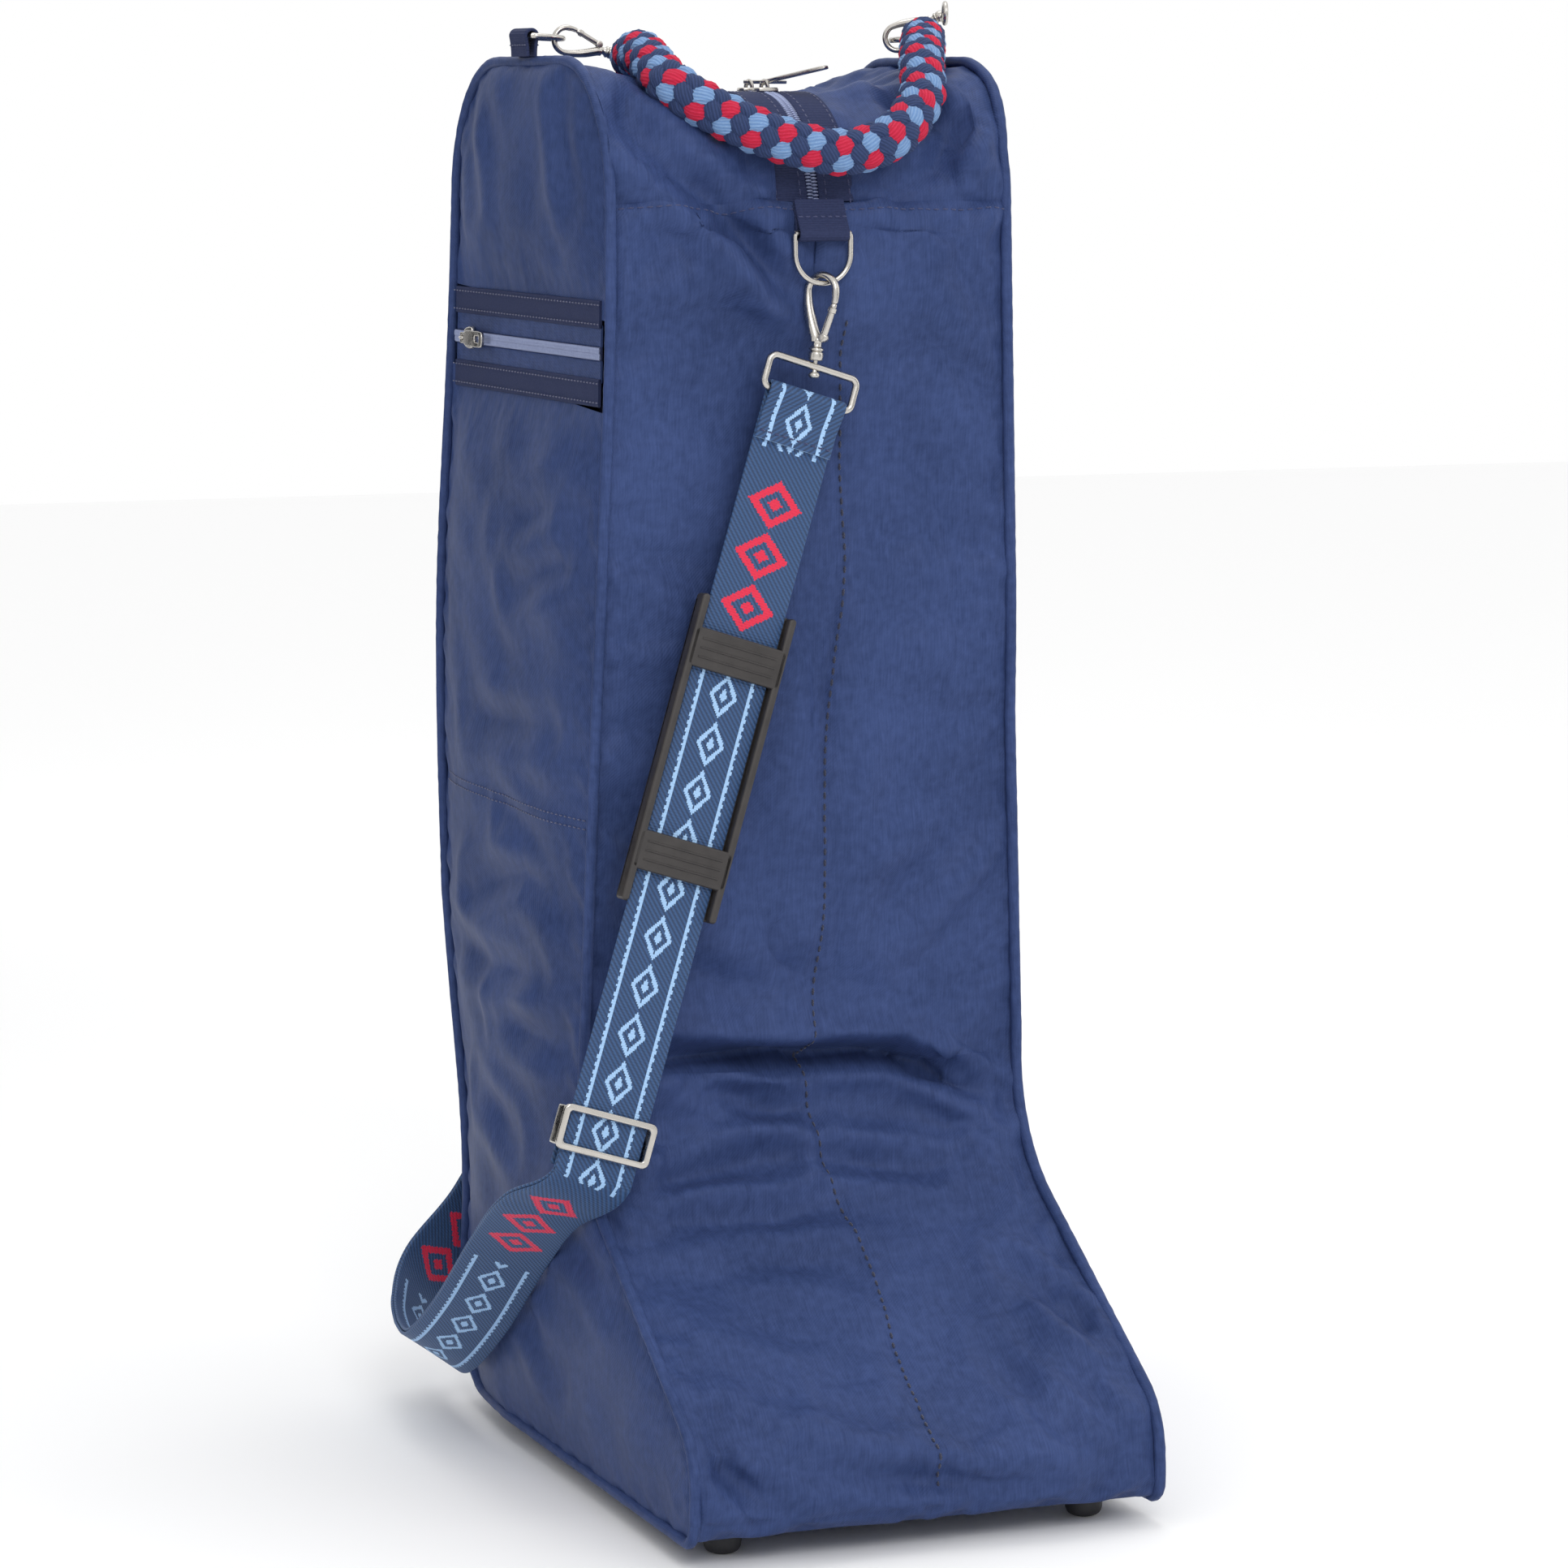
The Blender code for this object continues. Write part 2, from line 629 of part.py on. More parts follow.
def pocket_zip():
    """The zip across the left side panel, all of it in that panel's plane."""
    slope = (half_width(POCKET_ZIP_HEIGHT + 0.01) - half_width(POCKET_ZIP_HEIGHT - 0.01)) / 0.02
    rise = Vector((-slope, 0, 1)).normalized()
    out = Vector((-1, 0, -slope)).normalized()
    centre_x = -half_width(POCKET_ZIP_HEIGHT)
    front, rear = FRONT_Y + PANEL_WALL + 0.0008, BACK_Y - PANEL_WALL - 0.0030
    middle = Vector((centre_x, (front + rear) / 2, POCKET_ZIP_HEIGHT))
    length = rear - front
    half_chain = CHAIN_WIDTH / 2

    def band(name, low, high, thickness, sink, look):
        spot = middle + rise * (low + high) / 2 - out * (sink + thickness / 2)
        size = (thickness, length, high - low)
        return add_part(name, box_mesh(size, frame_of(spot, -out, REAR, rise)), look)

    band("pocket_zip_tape_upper", half_chain + TOUCH_GAP, half_chain + TOUCH_GAP + POCKET_TAPE_WIDTH,
         TAPE_THICKNESS, 0.0004, DARK_TAPE)
    band("pocket_zip_tape_lower", -half_chain - TOUCH_GAP - POCKET_TAPE_WIDTH, -half_chain - TOUCH_GAP,
         TAPE_THICKNESS, 0.0004, DARK_TAPE)
    band("pocket_zip_chain", -half_chain, half_chain, CHAIN_THICKNESS, -0.0006, CHAIN)
    lift = 0.0006 + TOUCH_GAP + SLIDER_THICKNESS / 2
    spot = middle + out * lift
    spot.y = rear - POCKET_SLIDER_INSET
    parent = joint_point("pocket_slider_slide", spot, -REAR)
    slider("pocket_slider", frame_of(spot, rise, REAR, out), parent)
    pivot = spot + out * (SLIDER_THICKNESS / 2 + 0.0026)
    hinge = joint_point("pocket_puller_hinge", pivot, -rise, parent)
    puller("pocket_puller", pivot, -REAR, out, hinge)


def pocket_bag():
    """The pouch behind the lower side panel: a tray that is open towards the panel and at its top."""
    top = POCKET_ZIP_HEIGHT - CHAIN_WIDTH / 2 - POCKET_TAPE_WIDTH - 0.002
    front, rear = FRONT_Y + POCKET_SIDE_INSET, BACK_Y - POCKET_SIDE_INSET
    outer = -half_width(POCKET_BOTTOM) + PANEL_WALL + 0.0016
    outer_top = -half_width(top) + PANEL_WALL + 0.0016
    inner, inner_top = outer + POCKET_DROP, outer_top + POCKET_DROP
    wall = POCKET_WALL
    tray = box_between((outer, front, POCKET_BOTTOM), (inner, rear, top))
    part = add_part("pocket_bag", tray, LINING)
    lean = (outer_top - outer) / (top - POCKET_BOTTOM)
    shear(part.data, lean)
    hollow_low = (outer - 0.01, front + wall, POCKET_BOTTOM + wall)
    hollow = box_between(hollow_low, (inner - wall, rear - wall, top + 0.01))
    shear(hollow, lean)
    cut_away(part, [hollow])
    return part


def box_between(low, high):
    low, high = Vector(low), Vector(high)
    return box_mesh(high - low, Matrix.Translation((low + high) / 2))


def shear(mesh, lean):
    """Leans a mesh in x to follow the side panel above the pocket's bottom."""
    for vertex in mesh.vertices:
        vertex.co.x += lean * (vertex.co.z - POCKET_BOTTOM)


# ---------------------------------------------------------------- webbing tabs and rings

def ring_points(centre, across, down, bar_offset):
    """A D: a straight bar, two short legs and a half-round bow on the `down` side."""
    radius = RING_INNER_WIDTH / 2 + RING_WIRE_RADIUS
    corner = 0.0016
    bar = centre - down * bar_offset
    points = [bar - across * (radius - corner), bar - across * (radius - 0.4 * corner) + down * 0.4 * corner,
              bar - across * radius + down * corner]
    for step in range(17):
        angle = math.pi * step / 16
        points.append(centre - across * radius * math.cos(angle) + down * radius * math.sin(angle))
    points += [bar + across * radius + down * corner,
               bar + across * (radius - 0.4 * corner) + down * 0.4 * corner,
               bar + across * (radius - corner)]
    return points


def ribbon_sections(stations, width, thickness):
    """Rectangles across (place, width direction, face direction) stations."""
    sections = []
    for place, wide, face in stations:
        side, up = wide * width / 2, face * thickness / 2
        sections.append((place - side - up, place + side - up, place + side + up, place - side + up))
    return sections


def tab(name, bar, across, inward, length, pinch):
    """A folded webbing tab round a ring's bar, its two ends side by side in the seam."""
    out = across.cross(inward).normalized()
    radius = RING_WIRE_RADIUS + 2 * TOUCH_GAP + TAB_THICKNESS / 2
    stations = []
    for step in range(4):
        along = length * (1 - step / 3)
        spread = radius + (pinch - radius) * (along / length)
        stations.append((bar + inward * along + out * spread, across, out))
    for step in range(1, 8):
        angle = math.pi * step / 8
        face = out * math.cos(angle) - inward * math.sin(angle)
        stations.append((bar + face * radius, across, face))
    for step in range(4):
        along = length * step / 3
        spread = radius + (pinch - radius) * (along / length)
        stations.append((bar + inward * along - out * spread, across, -out))
    return add_part(name, loft(ribbon_sections(stations, TAB_WIDTH, TAB_THICKNESS)), DARK_TAPE)


RING_RADIUS = RING_INNER_WIDTH / 2 + RING_WIRE_RADIUS
END_RING_Z = SEAM_HEIGHT - END_TAB_LENGTH + 0.002 - END_RING_BAR_OFFSET


def end_rings():
    """The rings that hang at the two ends of the top zip."""
    places = {"front": (FRONT_Y - END_RING_STANDOFF, -1), "rear": (BACK_Y + END_RING_STANDOFF, 1)}
    centres = {}
    for end, (y, out) in places.items():
        centre = Vector((0, y, END_RING_Z))
        bar = centre + UP * END_RING_BAR_OFFSET
        hinge = joint_point(f"ring_{end}_hinge", bar, RIGHT)
        points = ring_points(centre, RIGHT, -UP, END_RING_BAR_OFFSET)
        wire(f"ring_{end}", points, RING_WIRE_RADIUS, NICKEL, hinge, closed=True)
        lean = Vector((0, -out * END_TAB_LEAN, 1)).normalized()
        tab(f"tab_{end}", bar, RIGHT, lean, END_TAB_LENGTH, TAB_THICKNESS / 2 + 0.0002)
        centres[end] = centre
    return centres


def side_rings():
    """The rings on top of the side panels, lying in over the top of the bag."""
    centres = {}
    middle_y = (FRONT_Y + BACK_Y) / 2
    for end, side in (("left", -1), ("right", 1)):
        foot_z = BAG_HEIGHT + PIPING_RADIUS + TOUCH_GAP + 0.0004
        bar = Vector((side * (TOP_WIDTH / 2 + 0.003), middle_y, foot_z + SIDE_TAB_LENGTH))
        inward = Vector((-side * math.cos(SIDE_RING_DROOP), 0, -math.sin(SIDE_RING_DROOP)))
        centre = bar + inward * SIDE_RING_BAR_OFFSET
        hinge = joint_point(f"ring_{end}_hinge", bar, REAR * side)
        points = ring_points(centre, REAR, inward, SIDE_RING_BAR_OFFSET)
        wire(f"ring_{end}", points, RING_WIRE_RADIUS, NICKEL, hinge, closed=True)
        tab(f"tab_{end}", bar, REAR, -UP, SIDE_TAB_LENGTH, 0.0018)
        centres[end] = (centre, inward)
    return centres


# ---------------------------------------------------------------- snap hooks

def hook_frame(contact, toward_swivel, spine_side, scale):
    """Local frame of a snap hook whose throat holds a ring's wire at `contact`."""
    z_axis = -toward_swivel.normalized()
    x_axis = (spine_side - z_axis * spine_side.dot(z_axis)).normalized()
    y_axis = z_axis.cross(x_axis)
    inner_radius = (HOOK_THROAT_RADIUS - HOOK_WIRE_RADIUS) * scale
    throat = contact - z_axis * (inner_radius - RING_WIRE_RADIUS - HOOK_PLAY)
    return frame_of(throat, x_axis, y_axis, z_axis)


def snap_hook(name, frame, scale, parent=None):
    """The hook: a swivel barrel, a spine and a round bow that ends at the nose."""
    bow = HOOK_THROAT_RADIUS
    barrel = SWIVEL_RADIUS / HOOK_WIRE_RADIUS
    shape = [
        (0.0, -HOOK_LENGTH, barrel), (0.0, -HOOK_LENGTH + 0.0045, barrel), (0.0, -HOOK_LENGTH + 0.0052, 1.5),
        (0.0012, -0.0215, 1.35), (0.0044, -0.0135, 1.2), (0.0068, -0.0055, 1.05),
    ]
    for step in range(9):
        angle = math.pi * step / 8
        shape.append((bow * math.cos(angle), bow * math.sin(angle), 1.0))
    shape.append((-bow + 0.0001, -0.0040, 1.0))
    points = [frame @ Vector((x * scale, 0, z * scale)) for x, z, _ in shape]
    return wire(name, points, HOOK_WIRE_RADIUS * scale, NICKEL, parent, widths=[w for _, _, w in shape])


def gate(name, frame, scale, parent=None):
    """The sprung bar that closes the hook from near the barrel up to the nose."""
    heel, nose = Vector((-0.0030, 0, -0.0205)) * scale, Vector((-0.0073, 0, -0.0047)) * scale
    hinge = joint_point(f"{name}_hinge", frame @ heel, frame.to_3x3() @ Vector((0, 1, 0)), parent)
    wire(name, [frame @ heel, frame @ heel.lerp(nose, 0.5), frame @ nose], GATE_RADIUS * scale, NICKEL, hinge)


# ---------------------------------------------------------------- handle

def smooth_route(knots, spacing):
    """Points about `spacing` apart on a smooth curve through every knot."""
    points = []
    for i in range(len(knots) - 1):
        before = knots[i - 1] if i else knots[0] * 2 - knots[1]
        a, b = knots[i], knots[i + 1]
        after = knots[i + 2] if i + 2 < len(knots) else b * 2 - a
        steps = max(1, round((b - a).length / spacing))
        for step in range(steps):
            t = step / steps
            points.append(0.5 * (2 * a + (b - before) * t + (2 * before - 5 * a + 4 * b - after) * t * t
                                 + (3 * a - before - 3 * b + after) * t ** 3))
    points.append(knots[-1].copy())
    return points


def handle_side(name, frame, scale):
    """Hook, gate and the eye that the braid's end is worked into; returns the swivel's end."""
    snap_hook(f"handle_hook_{name}", frame, scale)
    gate(f"handle_gate_{name}", frame, scale)
    return frame @ Vector((0, 0, -HOOK_LENGTH * scale))


HANDLE_KNOTS = (
    (-0.0545, 0.1210, 0.6510), (-0.0600, 0.1550, 0.6530), (-0.0618, 0.1995, 0.6391),
    (-0.0411, 0.2160, 0.6244), (-0.0158, 0.2246, 0.6138), (0.0104, 0.2270, 0.6093),
    (0.0348, 0.2240, 0.6163), (0.0552, 0.2078, 0.6324), (0.0680, 0.1780, 0.6500),
    (0.0880, 0.1320, 0.6630),
)


def handle(rings):
    """The braided handle between its two snap hooks, lying forward over the bag's top."""
    scale = HANDLE_HOOK_SCALE
    ends = {}
    hooks = (("left", LEFT_HOOK_AXIS, -UP, LEFT_EYE_AXIS), ("right", RIGHT_HOOK_AXIS, UP, RIGHT_EYE_AXIS))
    for name, axis, spine, eye_axis in hooks:
        centre, inward = rings[name]
        frame = hook_frame(centre + inward * RING_RADIUS, Vector(axis), spine, scale)
        ends[name] = (handle_side(name, frame, scale), Vector(eye_axis).normalized())
    left, right = ends["left"][0], ends["right"][0]
    swing = joint_point("handle_swing", (left + right) / 2, (left - right).normalized())
    for name, (end, along) in ends.items():
        centre = end + along * (HANDLE_EYE_RADIUS + HANDLE_EYE_WIRE + SWIVEL_RADIUS * scale + SWIVEL_GAP / 2)
        turns = [2 * math.pi * step / 20 for step in range(20)]
        spokes = [along * math.cos(turn) + UP * math.sin(turn) for turn in turns]
        points = [centre + spoke * HANDLE_EYE_RADIUS for spoke in spokes]
        wire(f"handle_loop_{name}", points, HANDLE_EYE_WIRE, NICKEL, swing, closed=True)
    knots = [Vector((x, BACK_Y - depth, z)) for x, depth, z in HANDLE_KNOTS]
    wire("handle_braid", smooth_route(knots, 0.010), BRAID_RADIUS, BRAID, swing, resolution=3)


# ---------------------------------------------------------------- shoulder strap

# The strap's middle line below the adjuster: (x, depth from the back, height, tilt of its width)
STRAP_KNOTS = (
    (-0.1340, 0.2180, 0.1335, 27), (-0.1350, 0.1780, 0.1080, 30), (-0.1375, 0.1280, 0.0680, 33),
    (-0.1400, 0.0870, 0.0420, 34), (-0.1365, 0.0520, 0.0370, 38), (-0.1310, 0.0200, 0.0420, 50),
    (-0.1150, -0.0080, 0.0580, 52), (-0.0830, -0.0195, 0.0880, 50), (-0.0540, -0.0205, 0.1400, 32),
    (-0.0340, -0.0210, 0.2200, 15), (-0.0200, -0.0200, 0.3200, 6), (-0.0080, -0.0175, 0.4300, 2),
)
STRAP_AIM = (-0.1133, 0.2500, 0.1731)
FRONT_TILT = 17
WRAP_RADIUS = STRAP_LOOP_WIRE + TOUCH_GAP + STRAP_THICKNESS / 2
LAYER_STEP = STRAP_THICKNESS + TOUCH_GAP


def width_direction(tilt, along):
    """The strap's width: to the left and up by `tilt` degrees, square to the strap."""
    wide = Vector((-math.cos(math.radians(tilt)), 0, math.sin(math.radians(tilt))))
    return (wide - along * wide.dot(along)).normalized()


def strap_hook(ring_centre, outward):
    """One end of the strap: the hook round the ring's bow, its gate and its place for the loop."""
    contact = ring_centre - UP * RING_RADIUS
    lean = STRAP_HOOK_LEAN if outward < 0 else 0.0
    axis = Vector((-math.sin(lean), 0, -math.cos(lean)))
    spine = Vector((-math.sin(STRAP_HOOK_YAW), -outward * math.cos(STRAP_HOOK_YAW), 0))
    frame = hook_frame(contact, axis, spine, 1.0)
    swivel = frame @ Vector((0, 0, -HOOK_LENGTH))
    return frame, swivel, axis


def strap_loop(end, swivel, axis, wide, down, parent):
    """The rectangular loop under the swivel; returns the middle of the bar that holds the webbing."""
    top = swivel + axis * (STRAP_LOOP_WIRE + SWIVEL_GAP)
    half = STRAP_WIDTH / 2 + STRAP_LOOP_CLEARANCE + STRAP_LOOP_WIRE
    corner = 0.0034
    points = []
    for side, level, turn in ((1, 0, 0), (1, 1, 1), (-1, 1, 2), (-1, 0, 3)):
        centre = top + wide * side * (half - corner)
        centre += down * (corner if level == 0 else STRAP_LOOP_HEIGHT - corner)
        for step in range(4):
            angle = math.pi / 2 * (turn + step / 3)
            points.append(centre + (-down * math.cos(angle) + wide * math.sin(angle)) * corner)
    wire(f"strap_loop_{end}", points, STRAP_LOOP_WIRE, NICKEL, parent, closed=True)
    return top + down * STRAP_LOOP_HEIGHT


def wrap(bar, outward, over, radius, start=0.0):
    """Places round a bar from its outward side over its top, with the direction away from the bar."""
    places = []
    for step in range(9):
        angle = start + (math.pi - start) * step / 8
        spoke = outward * math.cos(angle) + over * math.sin(angle)
        places.append((bar + spoke * radius, spoke))
    return places


def box_in(frame, low, high):
    low, high = Vector(low), Vector(high)
    return box_mesh(high - low, frame @ Matrix.Translation((low + high) / 2))


def strap_pad(frame, parent):
    """A moulded shoulder pad: a base under the webbing, two rails and two bridges over it."""
    slot, low = STRAP_THICKNESS / 2 + TOUCH_GAP, -STRAP_THICKNESS / 2 - TOUCH_GAP
    half, inner = PAD_LENGTH / 2, STRAP_WIDTH / 2 + STRAP_SLOT_CLEARANCE
    mesh = box_in(frame, (-PAD_WIDTH / 2, -half, low - PAD_BASE), (PAD_WIDTH / 2, half, slot + PAD_RAIL_RISE))
    pad = add_part("strap_pad", mesh, BLACK_PLASTIC, parent)
    bar_out, bar_in = half - PAD_BAR_INSET, half - PAD_BAR_INSET - PAD_BAR_LENGTH
    over = 0.02
    cut_away(pad, [
        box_in(frame, (-inner, -half - over, low), (inner, half + over, slot)),
        box_in(frame, (-inner, -half - over, 0), (inner, -bar_out, over)),
        box_in(frame, (-inner, -bar_in, 0), (inner, bar_in, over)),
        box_in(frame, (-inner, bar_out, 0), (inner, half + over, over)),
    ])


def strap_adjuster(frame, bar_depth, parent):
    """The metal slider: a frame in front of the webbing and a centre bar behind it."""
    slot, low = STRAP_THICKNESS / 2 + TOUCH_GAP, -bar_depth + ADJUSTER_CENTRE_BAR / 2
    half, inner = ADJUSTER_LENGTH / 2, STRAP_WIDTH / 2 + STRAP_SLOT_CLEARANCE
    deep = -bar_depth - ADJUSTER_CENTRE_BAR / 2
    high = (ADJUSTER_WIDTH / 2, half, slot + ADJUSTER_PLATE)
    mesh = box_in(frame, (-ADJUSTER_WIDTH / 2, -half, deep), high)
    body = add_part("strap_adjuster", mesh, NICKEL, parent)
    over, bar = 0.02, ADJUSTER_CENTRE_BAR / 2
    cut_away(body, [
        box_in(frame, (-inner, -half - over, low), (inner, half + over, slot)),
        box_in(frame, (-inner, -half - over, -over), (inner, -bar, 0)),
        box_in(frame, (-inner, bar, -over), (inner, half + over, 0)),
        box_in(frame, (-inner, -half + ADJUSTER_RAIL, 0), (inner, half - ADJUSTER_RAIL, over)),
    ])


def strap(centres):
    """The shoulder strap: hung from the front ring, round the bag's left side and up to the rear ring."""
    middle_y = (centres["front"].y + centres["rear"].y) / 2
    swing = joint_point("strap_swing", Vector((0, middle_y, END_RING_Z)), REAR)
    aim = Vector((STRAP_AIM[0], BACK_Y - STRAP_AIM[1], STRAP_AIM[2]))
    bars = {}
    for end, outward in (("front", -1), ("rear", 1)):
        frame, swivel, axis = strap_hook(centres[end], outward)
        if end == "front":
            down = (aim - swivel).normalized()
            wide = width_direction(FRONT_TILT, down)
        else:
            last = STRAP_KNOTS[-1]
            down = (Vector((last[0], BACK_Y - last[1], last[2])) - swivel).normalized()
            wide = width_direction(0, down)
        swivel_joint = joint_point(f"strap_hook_{end}_swivel", swivel, axis, swing)
        snap_hook(f"strap_hook_{end}", frame, 1.0, swivel_joint)
        gate(f"strap_gate_{end}", frame, 1.0, swivel_joint)
        bars[end] = (strap_loop(end, swivel, axis, wide, down, swing), wide, down)

    bar, wide, down = bars["front"]
    out = wide.cross(down).normalized()
    run_start = bar - out * WRAP_RADIUS
    tail = []
    for step in range(4):
        along = STRAP_LAP * (1 - step / 3)
        ease = min(1.0, along / STRAP_CLOSE_LENGTH)
        rise = WRAP_RADIUS * (1 - ease) + (LAYER_STEP + TOUCH_GAP / 2 - WRAP_RADIUS) * ease
        tail.append((bar + down * along + out * rise, wide, out))
    front_wrap = [(place, wide, spoke) for place, spoke in wrap(bar, out, -down, WRAP_RADIUS)][1:-1]

    adjuster = run_start + down * ADJUSTER_ALONG
    run_end = adjuster + down * (ADJUSTER_LENGTH / 2 + STRAP_BEND_LEAD)
    straight_length = ADJUSTER_ALONG + ADJUSTER_LENGTH / 2 + TOUCH_GAP
    straight = [run_start + down * straight_length * step / 12 for step in range(13)]
    rear_bar, rear_wide, rear_down = bars["rear"]
    rear_out = rear_wide.cross(-rear_down).normalized()
    arrive = rear_bar + rear_out * WRAP_RADIUS
    lead = arrive + rear_down * STRAP_REAR_LEAD
    knots = [run_end] + [Vector((x, BACK_Y - depth, z)) for x, depth, z, _ in STRAP_KNOTS] + [lead]
    tilts = [FRONT_TILT] + [tilt for _, _, _, tilt in STRAP_KNOTS] + [0]
    before, after = knots[0] - down * 0.05, arrive
    curve = smooth_route([before] + knots + [after], 0.0165)
    first = min(range(len(curve)), key=lambda i: (curve[i] - run_end).length)
    last = min(range(len(curve)), key=lambda i: (curve[i] - lead).length)
    places = straight + curve[first:last + 1] + [arrive + rear_down * STRAP_REAR_LEAD / 2, arrive]

    stations = []
    for i, place in enumerate(places):
        along = (places[min(i + 1, len(places) - 1)] - places[max(i - 1, 0)]).normalized()
        near = min(range(len(knots)), key=lambda k: (knots[k] - place).length)
        tilt = tilt_at(place, knots, tilts, near) if i >= len(straight) else FRONT_TILT
        side = width_direction(tilt, along)
        face = side.cross(along).normalized()
        stations.append((place, side, -face))
    main = tail + front_wrap + stations
    add_part("strap_main", loft(ribbon_sections(main, STRAP_WIDTH, STRAP_THICKNESS)), WEBBING, swing)

    bar_reach = ADJUSTER_CENTRE_BAR * math.sqrt(0.5)
    bar_depth = LAYER_STEP + bar_reach + TOUCH_GAP + STRAP_THICKNESS / 2
    inner = [(place, spoke) for place, spoke in wrap(rear_bar, rear_out, -rear_down, WRAP_RADIUS, 0.15)]
    back = [(place, rear_wide, spoke) for place, spoke in inner]
    for i in range(len(places) - 2, len(straight) - 2, -1):
        place, side, face = stations[i]
        gone = (place - arrive).length
        drop = LAYER_STEP + max(0.0, 1 - gone / STRAP_OPEN_LENGTH) * (2 * WRAP_RADIUS - LAYER_STEP)
        back.append((place + face * drop, side, face))
    centre_bar = adjuster - out * bar_depth
    turn_radius = bar_depth - LAYER_STEP
    for place, spoke in wrap(centre_bar, out, -down, turn_radius):
        back.append((place, wide, -spoke))
    for step in range(1, 4):
        back.append((centre_bar - out * turn_radius + down * ADJUSTER_TAIL * step / 3, wide, out))
    add_part("strap_return", loft(ribbon_sections(back, STRAP_WIDTH, STRAP_THICKNESS)), WEBBING, swing)

    pad_spot = run_start + down * PAD_CENTRE_ALONG
    slide = joint_point("strap_pad_slide", pad_spot, down, swing)
    strap_pad(frame_of(pad_spot, wide, down, wide.cross(down)), slide)
    strap_adjuster(frame_of(adjuster, wide, down, wide.cross(down)), bar_depth, swing)


def tilt_at(place, knots, tilts, near):
    """The width's tilt at a place, eased between the two knots that it lies between."""
    other = near + 1 if near == 0 else near - 1
    if 0 < near < len(knots) - 1:
        ahead, behind = (knots[near + 1] - place).length, (knots[near - 1] - place).length
        other = near + 1 if ahead < behind else near - 1
    a, b = (place - knots[near]).length, (place - knots[other]).length
    share = a / (a + b)
    return tilts[near] * (1 - share) + tilts[other] * share


# ---------------------------------------------------------------- build

def bag():
    strip("front_panel", AT_FRONT_SEAM, AT_ANKLE, 0.006)
    strip("instep_panel", AT_ANKLE, AT_TOE_END, 0.004)
    strip("base_panel", AT_TOE_EDGE, AT_HEEL_EDGE, 0.0)
    cut_away(bpy.data.objects["base_panel"], stud_holes(BASE_Z))
    strip("back_panel", AT_HEEL_EDGE, AT_REAR_SEAM, 0.006)
    top_panel("top_panel_left", -1)
    top_panel("top_panel_right", 1)
    zip_half = CHAIN_WIDTH / 2 + TOUCH_GAP + POCKET_TAPE_WIDTH + TOUCH_GAP
    side_shape("side_panel_left_top", -1, POCKET_ZIP_HEIGHT + zip_half, None)
    side_shape("side_panel_left", -1, None, POCKET_ZIP_HEIGHT - zip_half)
    side_shape("side_panel_right", 1, None, None)
    piping("piping_left", -1)
    piping("piping_right", 1)
    centre_divider()
    base_board()
    feet()


bag()
top_zip()
pocket_zip()
pocket_bag()
end_ring_centres = end_rings()
side_ring_centres = side_rings()
handle(side_ring_centres)
strap(end_ring_centres)
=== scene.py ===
"""The looks of a tall riding-boot bag: a boot-shaped satin case with a two-way zip over its top,
a zipped side pocket, a braided carrying handle on snap hooks and a woven shoulder strap."""

import math

import bmesh
import bpy
import numpy as np
from mathutils import Matrix, Vector
from mathutils.bvhtree import BVHTree


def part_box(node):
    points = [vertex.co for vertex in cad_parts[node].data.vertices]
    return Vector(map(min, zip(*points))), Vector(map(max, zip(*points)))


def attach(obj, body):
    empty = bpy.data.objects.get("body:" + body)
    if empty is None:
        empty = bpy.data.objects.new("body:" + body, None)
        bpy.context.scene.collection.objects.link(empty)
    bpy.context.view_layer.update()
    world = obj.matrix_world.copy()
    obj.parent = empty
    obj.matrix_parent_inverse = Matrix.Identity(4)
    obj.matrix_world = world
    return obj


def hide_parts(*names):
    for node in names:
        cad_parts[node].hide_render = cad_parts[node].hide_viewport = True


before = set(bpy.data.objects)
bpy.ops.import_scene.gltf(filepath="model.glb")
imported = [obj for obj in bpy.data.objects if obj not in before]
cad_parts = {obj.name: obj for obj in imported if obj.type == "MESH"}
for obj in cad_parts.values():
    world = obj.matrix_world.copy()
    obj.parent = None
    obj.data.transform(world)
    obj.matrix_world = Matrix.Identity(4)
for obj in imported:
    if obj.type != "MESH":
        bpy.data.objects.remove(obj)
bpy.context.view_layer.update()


# ------------------------------------------------------------ Studio
# The bag stands alone on a pale, plain floor in soft light that comes from all round,
# seen a little from its pocket side and from slightly above.

VIEW_FROM = Vector((-0.8936, -2.3033, 0.6328))
VIEW_AZIMUTH = math.radians(-21.2451)
VIEW_RISE = math.radians(7.2705)
VIEW_LENS = 123.22


def srgb(code):
    """Linear RGBA from a six-digit sRGB hex colour."""
    channels = [int(code[i:i + 2], 16) / 255 for i in (0, 2, 4)]
    return (*[c / 12.92 if c <= 0.04045 else ((c + 0.055) / 1.055) ** 2.4 for c in channels], 1.0)


def new_material(name, roughness=0.5, metallic=0.0):
    """A material with its shader: returns (material, node tree, shader)."""
    made = bpy.data.materials.new(name)
    made.use_nodes = True
    shader = made.node_tree.nodes["Principled BSDF"]
    shader.inputs["Roughness"].default_value = roughness
    shader.inputs["Metallic"].default_value = metallic
    return made, made.node_tree, shader


def add(tree, kind, inputs=None, **settings):
    """Adds one node; its inputs are values or the sockets that feed them."""
    made = tree.nodes.new(kind)
    for name, value in settings.items():
        setattr(made, name, value)
    for name, value in (inputs or {}).items():
        if isinstance(value, bpy.types.NodeSocket):
            tree.links.new(value, made.inputs[name])
        else:
            made.inputs[name].default_value = value
    return made


def place(obj, collection=bpy.context.scene.collection):
    collection.objects.link(obj)
    return obj


